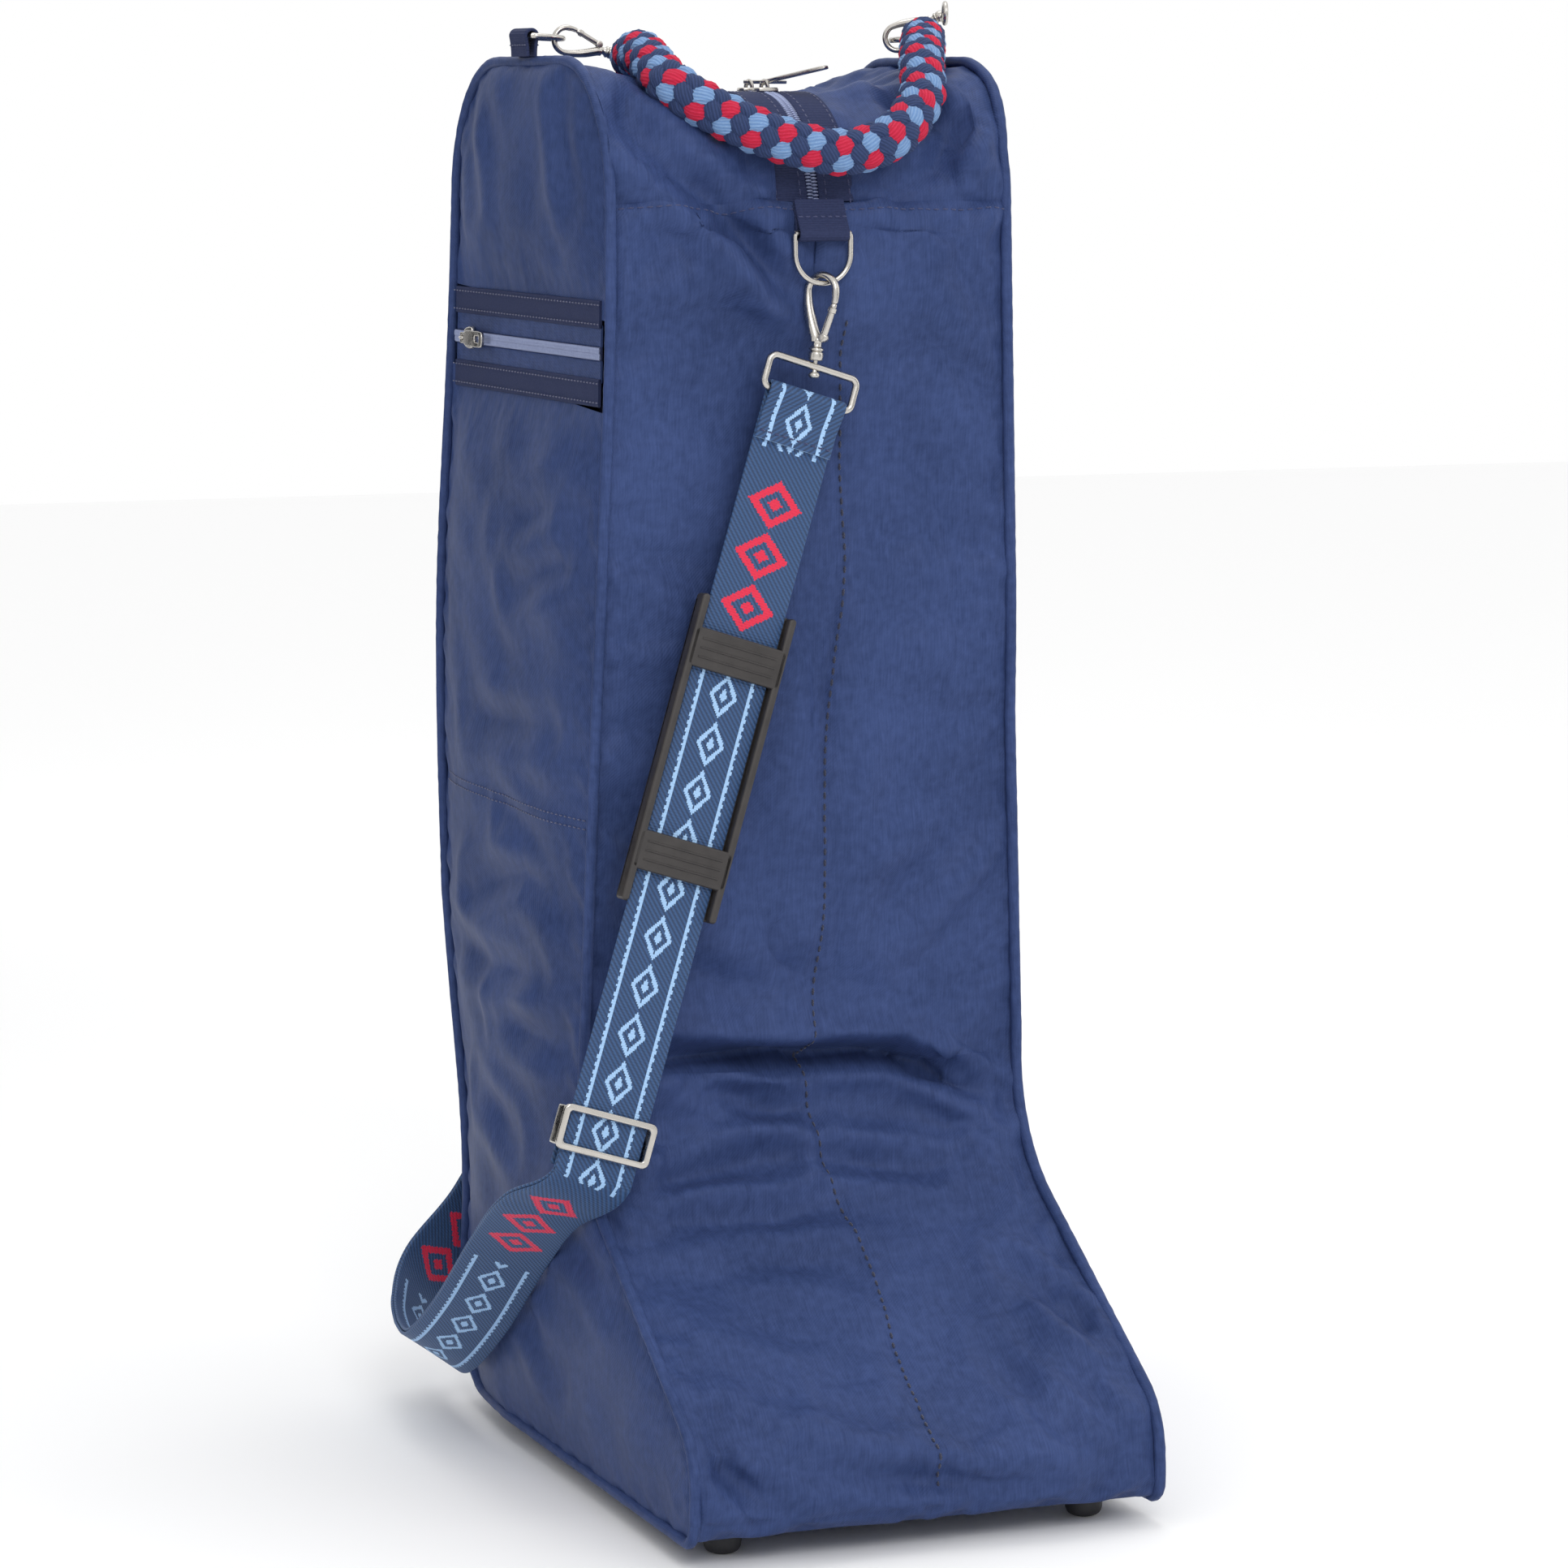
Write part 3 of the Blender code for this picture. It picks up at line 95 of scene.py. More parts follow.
camera = place(bpy.data.objects.new("camera", bpy.data.cameras.new("camera")))
toward_viewer = Vector((math.sin(VIEW_AZIMUTH) * math.cos(VIEW_RISE),
                        -math.cos(VIEW_AZIMUTH) * math.cos(VIEW_RISE), math.sin(VIEW_RISE)))
camera.location = VIEW_FROM
camera.rotation_euler = toward_viewer.to_track_quat("Z", "Y").to_euler()
camera.data.lens = VIEW_LENS
camera.data.sensor_width = 36
camera.data.clip_start = 0.05
bpy.context.scene.camera = camera
bpy.context.scene.view_settings.view_transform = "Standard"

world = bpy.data.worlds.new("studio")
bpy.context.scene.world = world
world.use_nodes = True
world.node_tree.nodes["Background"].inputs["Color"].default_value = srgb("ffffff")
world.node_tree.nodes["Background"].inputs["Strength"].default_value = 1.0

floor_material, _, floor_shader = new_material("floor_paint", roughness=0.9)
floor_shader.inputs["Base Color"].default_value = srgb("fafafa")
floor_mesh = bpy.data.meshes.new("floor")
floor_mesh.from_pydata([(-6, -6, 0), (6, -6, 0), (6, 6, 0), (-6, 6, 0)], [], [(0, 1, 2, 3)])
floor_mesh.materials.append(floor_material)
floor = place(bpy.data.objects.new("floor", floor_mesh))

FLAG_HEIGHT = 1.5
FLAG_GAP = 0.02
flag_cloth, _, flag_shader = new_material("studio_flag_cloth", roughness=1.0)
flag_shader.inputs["Base Color"].default_value = srgb("202126")
flag_shader.inputs["Specular IOR Level"].default_value = 0.0
for name, near, far in (("flag_back_left", (-2.6, 0.9), (-0.55, 1.9)),
                        ("flag_left", (-2.0, -1.5), (-1.8, -1.0)),
                        ("flag_right", (1.4, -1.9), (1.7, -1.3))):
    flag_mesh = bpy.data.meshes.new(name)
    corners = [(*near, FLAG_GAP), (*far, FLAG_GAP), (*far, FLAG_HEIGHT), (*near, FLAG_HEIGHT)]
    flag_mesh.from_pydata(corners, [], [(0, 1, 2, 3)])
    flag_mesh.materials.append(flag_cloth)
    flag = place(bpy.data.objects.new(name, flag_mesh))
    flag.visible_camera = False

for name, spot, aim, energy, size in (
        ("light_key", (-0.35, -2.4, 2.0), (0, 0, 0.35), 21, 1.1),
        ("light_fill", (2.0, -1.3, 1.2), (0, 0, 0.3), 7, 1.5),
        ("light_top", (0.1, 0.3, 2.3), (0, 0, 0.6), 8, 1.2)):
    light = place(bpy.data.objects.new(name, bpy.data.lights.new(name, "AREA")))
    light.data.energy = energy
    light.data.size = size
    light.location = spot
    light.rotation_euler = (Vector(spot) - Vector(aim)).to_track_quat("Z", "Y").to_euler()


# ------------------------------------------------------------ Fabric case
# Satin twill over a thin padding: a gusset wraps round the boot shape between two side panels.
# The cloth is loose, so it folds at the ankle and wrinkles across the toe and beside the zip.

BAG_HEIGHT = 0.650
SHAFT_DEPTH = 0.215
SOLE_LENGTH = 0.357
TOP_WIDTH = 0.196
SOLE_WIDTH = 0.222
SEAM_HEIGHT = 0.587
ARCH_RADIUS = 0.060
ANKLE_HEIGHT = 0.190
TOP_SAG = 0.015
BASE_Z = 0.0114
BACK_Y = 0.17335
FRONT_Y = BACK_Y - SHAFT_DEPTH
POCKET_ZIP_HEIGHT = 0.520
POCKET_BAND = 0.023
ZIP_OPENING = 0.0185
SIM_ROWS = 116
SIM_ACROSS = 44
REFINE = 3
LOOSE_CLOTH = 0.020
MOST_MOVE = 0.010
SIDE_LOOSE = 0.18

SATIN = "3d4d7a"
SATIN_DARK = "2c3a60"
CORNERS = (
    (SOLE_LENGTH, BASE_Z, 0.010), (0.010, BASE_Z, 0.050), (-0.004, 0.300, 0.600),
    (0.000, BAG_HEIGHT, ARCH_RADIUS), (SHAFT_DEPTH, BAG_HEIGHT, ARCH_RADIUS),
    (SHAFT_DEPTH, 0.400, 0.500), (SHAFT_DEPTH - 0.015, 0.150, 0.070), (SOLE_LENGTH, 0.052, 0.035),
)


def outline_points():
    """(depth, height) round the closed side outline, each corner an arc, and where each arc runs."""
    points, ends = [], []
    for i, (depth, height, radius) in enumerate(CORNERS):
        here = Vector((depth, height))
        before = (Vector(CORNERS[i - 1][:2]) - here).normalized()
        after = (Vector(CORNERS[(i + 1) % len(CORNERS)][:2]) - here).normalized()
        half_turn = before.angle(after) / 2
        reach = radius / math.tan(half_turn)
        centre = here + (before + after).normalized() * radius / math.sin(half_turn)
        first, last = here + before * reach - centre, here + after * reach - centre
        steps = max(2, round(math.degrees(math.pi - 2 * half_turn) / 3))
        ends.append((len(points), len(points) + steps))
        points += [centre + first.slerp(last,
                                        step / steps).normalized() * radius for step in range(steps + 1)]
    return np.array(points), ends


def measured(points):
    return np.concatenate(([0], np.cumsum(np.linalg.norm(np.diff(points, axis=0), axis=1))))


corner_run, corner_ends = outline_points()
outline_run = np.vstack((corner_run, corner_run[:1]))
outline_at = measured(outline_run)
ROUND = outline_at[-1]
AT_TOE, AT_HEEL = outline_at[corner_ends[0][1]], outline_at[corner_ends[1][0]]
AT_BACK_TOP, AT_FRONT_TOP = outline_at[corner_ends[3][1]], outline_at[corner_ends[4][0]]


def outline(at):
    """(depth, height) at distances round the outline."""
    at = np.mod(at, ROUND)
    return np.stack([np.interp(at, outline_at, outline_run[:, k]) for k in (0, 1)], axis=-1)


def nearest_at(depth, height, low=0.0, high=ROUND):
    tries = np.linspace(low, high, 4000)
    return tries[np.argmin(np.linalg.norm(outline(tries) - (depth, height), axis=1))]


AT_REAR_SEAM = nearest_at(0.0, SEAM_HEIGHT)
AT_FRONT_SEAM = nearest_at(SHAFT_DEPTH, SEAM_HEIGHT)
AT_ANKLE = nearest_at(SHAFT_DEPTH - 0.010, ANKLE_HEIGHT)


def half_width(z):
    return (SOLE_WIDTH + (TOP_WIDTH - SOLE_WIDTH) * (z - BASE_Z) / (BAG_HEIGHT - BASE_Z)) / 2


def zip_line():
    """(depth, height) of the top zip, up the back, over the sagging top and down the front."""
    low = BAG_HEIGHT - TOP_SAG - ARCH_RADIUS
    angles = np.linspace(math.asin((SEAM_HEIGHT - low) / ARCH_RADIUS), math.pi / 2, 24)
    back = np.stack([ARCH_RADIUS - ARCH_RADIUS * np.cos(angles), low + ARCH_RADIUS * np.sin(angles)],
                    axis=1)
    front = back[::-1] * (-1, 1) + (SHAFT_DEPTH, 0)
    return np.vstack((back, front))


zip_run = zip_line()
zip_at = measured(zip_run)


def zip_point(share):
    at = np.asarray(share) * zip_at[-1]
    return np.stack([np.interp(at, zip_at, zip_run[:, k]) for k in (0, 1)], axis=-1)


def hump(value, centre, width):
    return np.exp(-((value - centre) / width) ** 2)


def settle(points):
    """The filled bag's slack: (x, depth, height) moved to how the case stands on its own."""
    x, depth, z = points[..., 0].copy(), points[..., 1].copy(), points[..., 2]
    rear = np.clip(1 - depth / SHAFT_DEPTH, 0, 1) ** 2
    front = np.clip(depth / SHAFT_DEPTH, 0, 1) ** 2 * np.clip((z - 0.24) / 0.12, 0, 1)
    right = np.clip(x / half_width(z), 0, 1)
    left = np.clip(-x / half_width(z), 0, 1)
    depth -= rear * (0.015 * hump(z, 0.39, 0.11) - 0.012 * hump(z, 0.13, 0.06))
    depth += front * left * 0.009 * hump(z, 0.53, 0.10)
    x -= right * 0.005 * np.clip((z - 0.20) / 0.15, 0, 1) * np.clip((0.64 - z) / 0.03, 0, 1)
    heel = np.clip((0.10 - depth) / 0.10, 0, 1) * np.clip((0.25 - z) / 0.15, 0, 1)
    x *= 1 - 0.07 * heel
    return np.stack([x, depth, z], axis=-1)


def in_world(points):
    """(x, depth, height) to the bag's frame."""
    return np.stack([points[..., 0], BACK_Y - points[..., 1], points[..., 2]], axis=-1)


def gusset_grid():
    """Rows round the outline from the toe, columns across; returns points, cloth coordinates, distances."""
    steps_low, steps_up, steps_top = 40, SIM_ROWS, 22
    at = np.concatenate((
        np.linspace(AT_TOE, AT_HEEL, steps_low, endpoint=False),
        np.linspace(AT_HEEL, AT_BACK_TOP, steps_up, endpoint=False),
        np.linspace(AT_BACK_TOP, AT_FRONT_TOP, steps_top, endpoint=False),
        np.linspace(AT_FRONT_TOP, ROUND + AT_TOE, steps_up + 1)))
    for mark in (AT_REAR_SEAM, AT_FRONT_SEAM, AT_ANKLE):
        at[np.argmin(abs(at - mark))] = mark
    share = ZIP_OPENING / half_width(BAG_HEIGHT - 0.02)
    across = np.concatenate((np.linspace(-1, -share, 13), np.linspace(-share, share, 7)[1:-1],
                             np.linspace(share, 1, 13)))
    flat = outline(at)
    x = across[None, :] * half_width(flat[:, 1])[:, None]
    depth = np.repeat(flat[:, :1], len(across), axis=1)
    z = np.repeat(flat[:, 1:], len(across), axis=1)
    top = (at >= AT_REAR_SEAM - 1e-9) & (at <= AT_FRONT_SEAM + 1e-9)
    low = zip_point((at - AT_REAR_SEAM) / (AT_FRONT_SEAM - AT_REAR_SEAM))
    inward = np.clip((1 - abs(across)) / (1 - share), 0, 1)
    ease = (inward * (2 - inward))[None, :]
    for k, held in ((0, depth), (1, z)):
        held[top] = (held * (1 - ease) + low[:, k:k + 1] * ease)[top]
    cloth = np.stack([x, np.repeat(at[:, None], len(across), axis=1)], axis=-1)
    return np.stack([x, depth, z], axis=-1), cloth, at, across


def side_grid(side):
    """Rows from sole to top, columns from the back to the front edge of a side panel."""
    up = np.linspace(0, 1, SIM_ROWS + 1)
    back = outline(AT_HEEL + (AT_BACK_TOP - AT_HEEL) * up)
    front = outline(ROUND + AT_TOE + (AT_FRONT_TOP - ROUND - AT_TOE) * up)
    share = np.linspace(0, 1, SIM_ACROSS + 1)[None, :, None]
    flat = back[:, None, :] * (1 - share) + front[:, None, :] * share
    x = side * half_width(flat[..., 1])
    return np.stack([x, flat[..., 0], flat[..., 1]], axis=-1), flat.copy()


def normals_of(points):
    along, across = np.gradient(points, axis=0), np.gradient(points, axis=1)
    normal = np.cross(along, across)
    return normal / np.maximum(np.linalg.norm(normal, axis=-1, keepdims=True), 1e-12)


def finer(points, times):
    """A grid with `times` as many steps both ways, on smooth curves through its points."""
    for axis in (0, 1):
        p = np.moveaxis(points, axis, 0)
        padded = np.concatenate((2 * p[:1] - p[1:2], p, 2 * p[-1:] - p[-2:-1]))
        a, b, c, d = padded[:-3], padded[1:-2], padded[2:-1], padded[3:]
        parts = []
        for step in range(times):
            t = step / times
            parts.append(0.5 * (2 * b + (c - a) * t + (2 * a - 5 * b + 4 * c - d) * t * t
                                + (3 * b - a - 3 * c + d) * t ** 3))
        p = np.stack(parts, axis=1).reshape(-1, *p.shape[1:])
        p = np.concatenate((p, padded[-2:-1]))
        points = np.moveaxis(p, 0, axis)
    return points


def line_distance(spots, line):
    """How far spots (..., 2) lie from a polyline, and on which side of it they are."""
    best = np.full(spots.shape[:-1], 9.0)
    side = np.zeros(spots.shape[:-1])
    for a, b in zip(line, line[1:]):
        a, b = np.array(a), np.array(b)
        run = b - a
        t = np.clip(((spots - a) @ run) / (run @ run), 0, 1)
        off = spots - a - t[..., None] * run
        gone = np.linalg.norm(off, axis=-1)
        nearer = gone < best
        best = np.where(nearer, gone, best)
        side = np.where(nearer, np.sign(run[0] * off[..., 1] - run[1] * off[..., 0]), side)
    return best, side


FOLD_STRENGTH = 1.75


def fold_lift(spots, folds):
    """Height of the folds at spots: each a valley with a soft ridge on both sides, fading at its ends."""
    lift = np.zeros(spots.shape[:-1])
    for depth, width, line in folds:
        away, _ = line_distance(spots, line)
        ends = np.minimum(np.linalg.norm(spots - line[0], axis=-1),
                          np.linalg.norm(spots - line[-1], axis=-1))
        fade = 1 - 0.75 * np.exp(-(ends / (3 * width)) ** 2)
        depth = depth * FOLD_STRENGTH
        lift += fade * depth * (-np.exp(-(away / width) ** 2) + 0.75
                                * np.exp(-((away - 2.1 * width) / (1.1 * width)) ** 2))
    return lift


def wandering(spots, seed, size):
    """Smooth, aimless variation from -1 to 1 with features about `size` across."""
    rng = np.random.default_rng(seed)
    total = np.zeros(spots.shape[:-1])
    for _ in range(9):
        turn, phase = rng.uniform(0, 2 * math.pi, 2)
        wave = 2 * math.pi / (size * rng.uniform(0.8, 2.2))
        total += np.sin(spots[..., 0] * math.cos(turn) * wave + spots[...,
                1] * math.sin(turn) * wave + phase)
    return total / 5


FRONT_FOLDS = (
    (0.0040, 0.0055, ((-.092, .199), (-.045, .197), (-.003, .195), (.044, .193), (.071, .182),
                      (.099, .166))),
    (0.0030, 0.0045, ((-.057, .186), (-.008, .172))),
    (0.0028, 0.0045, ((-.047, .173), (.003, .164))),
    (0.0031, 0.0050, ((-.069, .147), (-.011, .152))),
    (0.0033, 0.0050, ((.008, .147), (.056, .140))),
    (0.0028, 0.0050, ((-.095, .141), (-.052, .142), (-.009, .144))),
    (0.0026, 0.0050, ((-.088, .128), (-.025, .124), (.003, .129))),
    (0.0026, 0.0050, ((-.050, .112), (.000, .107))),
    (0.0026, 0.0055, ((-.100, .087), (-.081, .079), (-.061, .069))),
    (0.0030, 0.0055, ((-.095, .073), (-.098, .057), (-.098, .045), (-.087, .035), (-.068, .024))),
    (0.0022, 0.0055, ((-.058, .042), (-.003, .031), (.053, .025))),
    (0.0024, 0.0050, ((.049, .071), (.059, .055), (.067, .047))),
    (0.0026, 0.0050, ((.091, .087), (.099, .069), (.101, .064))),
    (0.0022, 0.0050, ((.083, .068), (.088, .051))),
    (0.0026, 0.0050, ((.076, .102), (.094, .086))),
    (0.0062, 0.0075, ((-.084, .622), (-.067, .603), (-.046, .587), (-.024, .563), (-.002, .547))),
    (0.0042, 0.0065, ((-.056, .615), (-.035, .599), (-.024, .587))),
    (0.0056, 0.0070, ((.059, .630), (.070, .620), (.063, .603), (.048, .590))),
    (0.0044, 0.0060, ((.078, .590), (.061, .580))),
    (0.0048, 0.0060, ((-.045, .572), (-.021, .554), (-.004, .547))),
    (0.0014, 0.0090, ((.038, .487), (.071, .442), (.080, .382))),
    (0.0016, 0.0080, ((-.074, .244), (-.035, .229), (-.010, .237))),
    (0.0016, 0.0080, ((.059, .237), (.086, .258))),
    (0.0012, 0.0090, ((.037, .257), (.072, .302))),
    (0.0014, 0.0090, ((-.085, .313), (-.074, .255))),
    (0.0014, 0.0080, ((-.096, .446), (-.050, .416))),
)
SIDE_FOLDS = (
    (0.0020, 0.0080, ((.059, .260), (.132, .276), (.184, .270))),
    (0.0022, 0.0075, ((.095, .207), (.136, .203), (.182, .204))),
    (0.0018, 0.0075, ((.029, .232), (.086, .225), (.157, .230))),
    (0.0020, 0.0080, ((.064, .166), (.126, .150))),
    (0.0014, 0.0090, ((.100, .430), (.169, .450))),
    (0.0018, 0.0080, ((.113, .408), (.176, .425), (.191, .445))),
    (0.0014, 0.0080, ((.055, .341), (.163, .346))),
    (0.0016, 0.0070, ((.106, .301), (.177, .287))),
    (0.0020, 0.0075, ((.186, .123), (.255, .100))),
    (0.0018, 0.0080, ((.117, .086), (.190, .048))),
    (0.0014, 0.0080, ((.028, .629), (.043, .584))),
    (0.0014, 0.0080, ((.159, .633), (.178, .583))),
)
CENTRE_SEAM = (
    (.009, .580), (.013, .473), (.015, .421), (.008, .365), (.004, .309), (.005, .251), (.000, .195),
    (.004, .159), (.009, .118), (.005, .084), (.002, .050), (.003, .029),
)


def loosen(grids, held):
    """Lets all the cloth settle at once, a little larger than the bag, with its seams held."""
    verts, faces, weights, start = [], [], [], 0
    for points, hold in zip(grids, held):
        rows, cols = points.shape[:2]
        verts.append(in_world(points).reshape(-1, 3))
        weights.append(hold.reshape(-1))
        index = np.arange(rows * cols).reshape(rows, cols) + start
        quads = np.stack([index[:-1, :-1], index[:-1, 1:], index[1:, 1:], index[1:, :-1]], axis=-1)
        gap = np.isnan(hold)
        faces.append(quads[~(gap[:-1, :-1] | gap[1:, 1:])].reshape(-1, 4))
        start += rows * cols
    verts, weights = np.vstack(verts), np.nan_to_num(np.concatenate(weights), nan=1.0)
    mesh = bpy.data.meshes.new("loose_cloth")
    mesh.from_pydata(verts.tolist(), [], np.vstack(faces).tolist())
    cloth = place(bpy.data.objects.new("loose_cloth", mesh))
    group = cloth.vertex_groups.new(name="held")
    group.add(np.flatnonzero(weights > 0.5).tolist(), 1.0, "REPLACE")
    settings = cloth.modifiers.new("cloth", "CLOTH").settings
    settings.quality = 6
    settings.mass = 0.25
    settings.tension_stiffness = settings.compression_stiffness = 25
    settings.shear_stiffness = 8
    settings.bending_stiffness = 0.9
    settings.vertex_group_mass = "held"
    settings.shrink_min = -LOOSE_CLOTH
    settings.use_pressure = True
    settings.uniform_pressure_force = 0.35
    settings.effector_weights.gravity = 0
    for number in range(1, 21):
        bpy.context.scene.frame_set(number)
    seen = cloth.evaluated_get(bpy.context.evaluated_depsgraph_get()).data
    moved = np.empty(len(seen.vertices) * 3)
    seen.vertices.foreach_get("co", moved)
    shift = moved.reshape(-1, 3) - verts
    gone = np.linalg.norm(shift, axis=1, keepdims=True)
    shift *= MOST_MOVE * np.tanh(gone / MOST_MOVE) / np.maximum(gone, 1e-9)
    bpy.context.scene.frame_set(1)
    bpy.data.objects.remove(cloth)
    settled, start = [], 0
    for points in grids:
        count = points.shape[0] * points.shape[1]
        step = shift[start:start + count].reshape(points.shape) * (1, -1, 1)
        settled.append(points + step)
        start += count
    return settled


def grid_object(name, points, cloth, look, flip=False):
    """A sheet of quads from a grid, its cloth coordinates (in metres) as UVs."""
    rows, cols = points.shape[:2]
    index = np.arange(rows * cols).reshape(rows, cols)
    quads = np.stack([index[:-1, :-1], index[:-1, 1:], index[1:, 1:], index[1:, :-1]],
                     axis=-1).reshape(-1, 4)
    if flip:
        quads = quads[:, ::-1]
    mesh = bpy.data.meshes.new(name)
    mesh.from_pydata(in_world(points).reshape(-1, 3).tolist(), [], quads.tolist())
    uv = mesh.uv_layers.new(name="cloth")
    uv.data.foreach_set("uv", cloth.reshape(-1, 2)[quads.reshape(-1)].astype(np.float32).reshape(-1))
    mesh.shade_smooth()
    mesh.materials.append(look)
    return place(bpy.data.objects.new(name, mesh))


def satin_twill(name):
    """Satin twill: a fine diagonal rib, slight slubs in its colour and a soft sheen where it turns away."""
    made, tree, shader = new_material(name, roughness=0.46)
    shader.inputs["Sheen Weight"].default_value = 0.04
    shader.inputs["Sheen Roughness"].default_value = 0.35
    shader.inputs["Sheen Tint"].default_value = srgb("7583b8")
    shader.inputs["Specular IOR Level"].default_value = 0.08
    cloth = add(tree, "ShaderNodeUVMap", uv_map="cloth").outputs["UV"]
    slubs = add(tree, "ShaderNodeTexNoise", {"Vector": cloth, "Scale": 210.0, "Detail": 4.0})
    patches = add(tree, "ShaderNodeTexNoise", {"Vector": cloth, "Scale": 14.0, "Detail": 3.0})
    thread = add(tree, "ShaderNodeMapping",
                 {"Vector": cloth, "Scale": (1400.0, 90.0, 1.0), "Rotation": (0, 0, 0.9)})
    streaks = add(tree, "ShaderNodeTexNoise",
                  {"Vector": thread.outputs["Vector"], "Scale": 1.0, "Detail": 2.0})
    mixed = add(tree, "ShaderNodeMath", {0: slubs.outputs["Fac"], 1: streaks.outputs["Fac"]},
                operation="ADD")
    shade = add(tree, "ShaderNodeMath", {0: mixed.outputs[0], 1: patches.outputs["Fac"]}, operation="ADD")
    ramp = add(tree, "ShaderNodeValToRGB")
    ramp.color_ramp.elements[0].position = 0.36
    ramp.color_ramp.elements[0].color = srgb(SATIN_DARK)
    ramp.color_ramp.elements[1].position = 0.62
    ramp.color_ramp.elements[1].color = srgb(SATIN)
    third = add(tree, "ShaderNodeMath", {0: shade.outputs[0], 1: 1 / 3}, operation="MULTIPLY")
    tree.links.new(third.outputs[0], ramp.inputs["Fac"])
    tree.links.new(ramp.outputs["Color"], shader.inputs["Base Color"])
    rib = add(tree, "ShaderNodeTexWave", {"Vector": cloth, "Scale": 0.314 / 0.0008, "Distortion": 0.6},
              bands_direction="DIAGONAL")
    crumple = add(tree, "ShaderNodeTexNoise",
                  {"Vector": cloth, "Scale": 60.0, "Detail": 5.0, "Roughness": 0.6})
    fine = add(tree, "ShaderNodeBump", {"Height": rib.outputs["Fac"], "Strength": 0.25, "Distance": 0.0003})
    soft = add(tree, "ShaderNodeBump", {"Height": crumple.outputs["Fac"], "Strength": 0.30,
                                        "Distance": 0.0014,
                                        "Normal": fine.outputs["Normal"]})
    tree.links.new(soft.outputs["Normal"], shader.inputs["Normal"])
    return made


def flesh_out(spots, edge, bulge, seed):
    """The finer shape of a refined grid: bulge, small wrinkles and puckers along its seams."""
    fade = 1 - np.exp(-(edge / 0.030) ** 2)
    tuck = -0.0016 * np.exp(-(edge / 0.0050) ** 2)
    puckers = 0.0009 * wandering(spots, seed + 1, 0.011) * np.exp(-((edge - 0.006) / 0.012) ** 2)
    small = 0.0011 * wandering(spots, seed + 2, 0.030) * fade
    return bulge * fade + tuck + puckers + small


case_cloth = satin_twill("satin_twill_navy")
gusset, gusset_cloth, gusset_at, gusset_across = gusset_grid()
gusset_far = np.repeat(abs(gusset_across)[None, :], len(gusset_at), axis=0)
in_top = (gusset_at >= AT_REAR_SEAM - 1e-9) & (gusset_at <= AT_FRONT_SEAM + 1e-9)
in_base = gusset_at <= AT_HEEL + 1e-9
opening = gusset_far < ZIP_OPENING / half_width(BAG_HEIGHT - 0.02) - 1e-6
gusset_held = np.zeros(gusset.shape[:2])
gusset_held[gusset_far > 0.999] = 1
gusset_held[in_base] = 1
gusset_held[np.argmin(abs(gusset_at - AT_FRONT_SEAM))] = 1
gusset_held[np.argmin(abs(gusset_at - AT_REAR_SEAM))] = 1
gusset_held[in_top[:, None] & (gusset_far < ZIP_OPENING / half_width(BAG_HEIGHT - 0.02) + 0.02)] = 1
gusset_held[in_top[:, None] & opening] = np.nan
gusset_held[-1] = 1
grids, holds, spots = [settle(gusset)], [gusset_held], {}
for side in (-1, 1):
    points, flat = side_grid(side)
    hold = np.zeros(points.shape[:2])
    hold[0] = hold[-1] = 1
    hold[:, 0] = hold[:, -1] = 1
    if side < 0:
        hold[abs(points[..., 2] - POCKET_ZIP_HEIGHT) < POCKET_BAND + 0.003] = 1
    grids.append(settle(points))
    holds.append(hold)
    spots[side] = flat
settled = loosen(grids, holds)
shares = (1.0, SIDE_LOOSE, SIDE_LOOSE)
grids = [grid + (moved - grid) * share for grid, moved, share in zip(grids, settled, shares)]

fine_at = finer(np.repeat(gusset_at[:, None, None], 2, axis=1), REFINE)[:, 0, 0]
fine_across = finer(np.repeat(gusset_across[None, :, None], 2, axis=0), REFINE)[0, :, 0]
fine_gusset = finer(grids[0], REFINE)
fine_cloth = finer(gusset_cloth, REFINE)
xz = fine_gusset[..., [0, 2]]
at_grid = np.repeat(fine_at[:, None], len(fine_across), axis=1)
edge = (1 - abs(fine_across))[None, :] * half_width(fine_gusset[..., 2])
is_front = (fine_at > AT_FRONT_TOP)[:, None]
is_base = (fine_at < AT_HEEL)[:, None] | (fine_at > ROUND)[:, None]
shaft = np.clip((at_grid - AT_FRONT_SEAM) / 0.03, 0, 1) * np.clip((AT_ANKLE - at_grid) / 0.04, 0, 1)
spine = np.clip((at_grid - AT_HEEL - 0.06) / 0.05, 0, 1) * np.clip((AT_REAR_SEAM - at_grid) / 0.03, 0, 1)
lift = flesh_out(fine_cloth, edge, 0.006 * (shaft + spine), 3)
under_tab = np.exp(-((xz[..., 0] / 0.022) ** 2 + ((xz[..., 1] - 0.562) / 0.040) ** 2) ** 2)
lift += np.where(is_front, fold_lift(xz, FRONT_FOLDS) * (1 - under_tab), 0)
broad = wandering(fine_cloth, 41, 0.13) * (1 - np.exp(-(edge / 0.04) ** 2))
lift += 0.0024 * broad * (shaft + spine)
instep = np.clip((at_grid - AT_ANKLE - 0.004) / 0.01, 0, 1)
pulled = wandering(fine_cloth * (0.30, 1.0), 43, 0.015) * (1 - np.exp(-(edge / 0.012) ** 2))
near_ankle = np.exp(-((at_grid - AT_ANKLE) / 0.07) ** 2)
lift += 0.0012 * pulled * instep * (0.45 + near_ankle) + 0.0016 * broad * instep
ankle_line = FRONT_FOLDS[0][2]
away, above = line_distance(xz, ankle_line)
overhang = np.where(above > 0, 0.0085 * np.exp(-((away - 0.012) / 0.016) ** 2),
                    -0.0010 * np.exp(-(away / 0.02) ** 2))
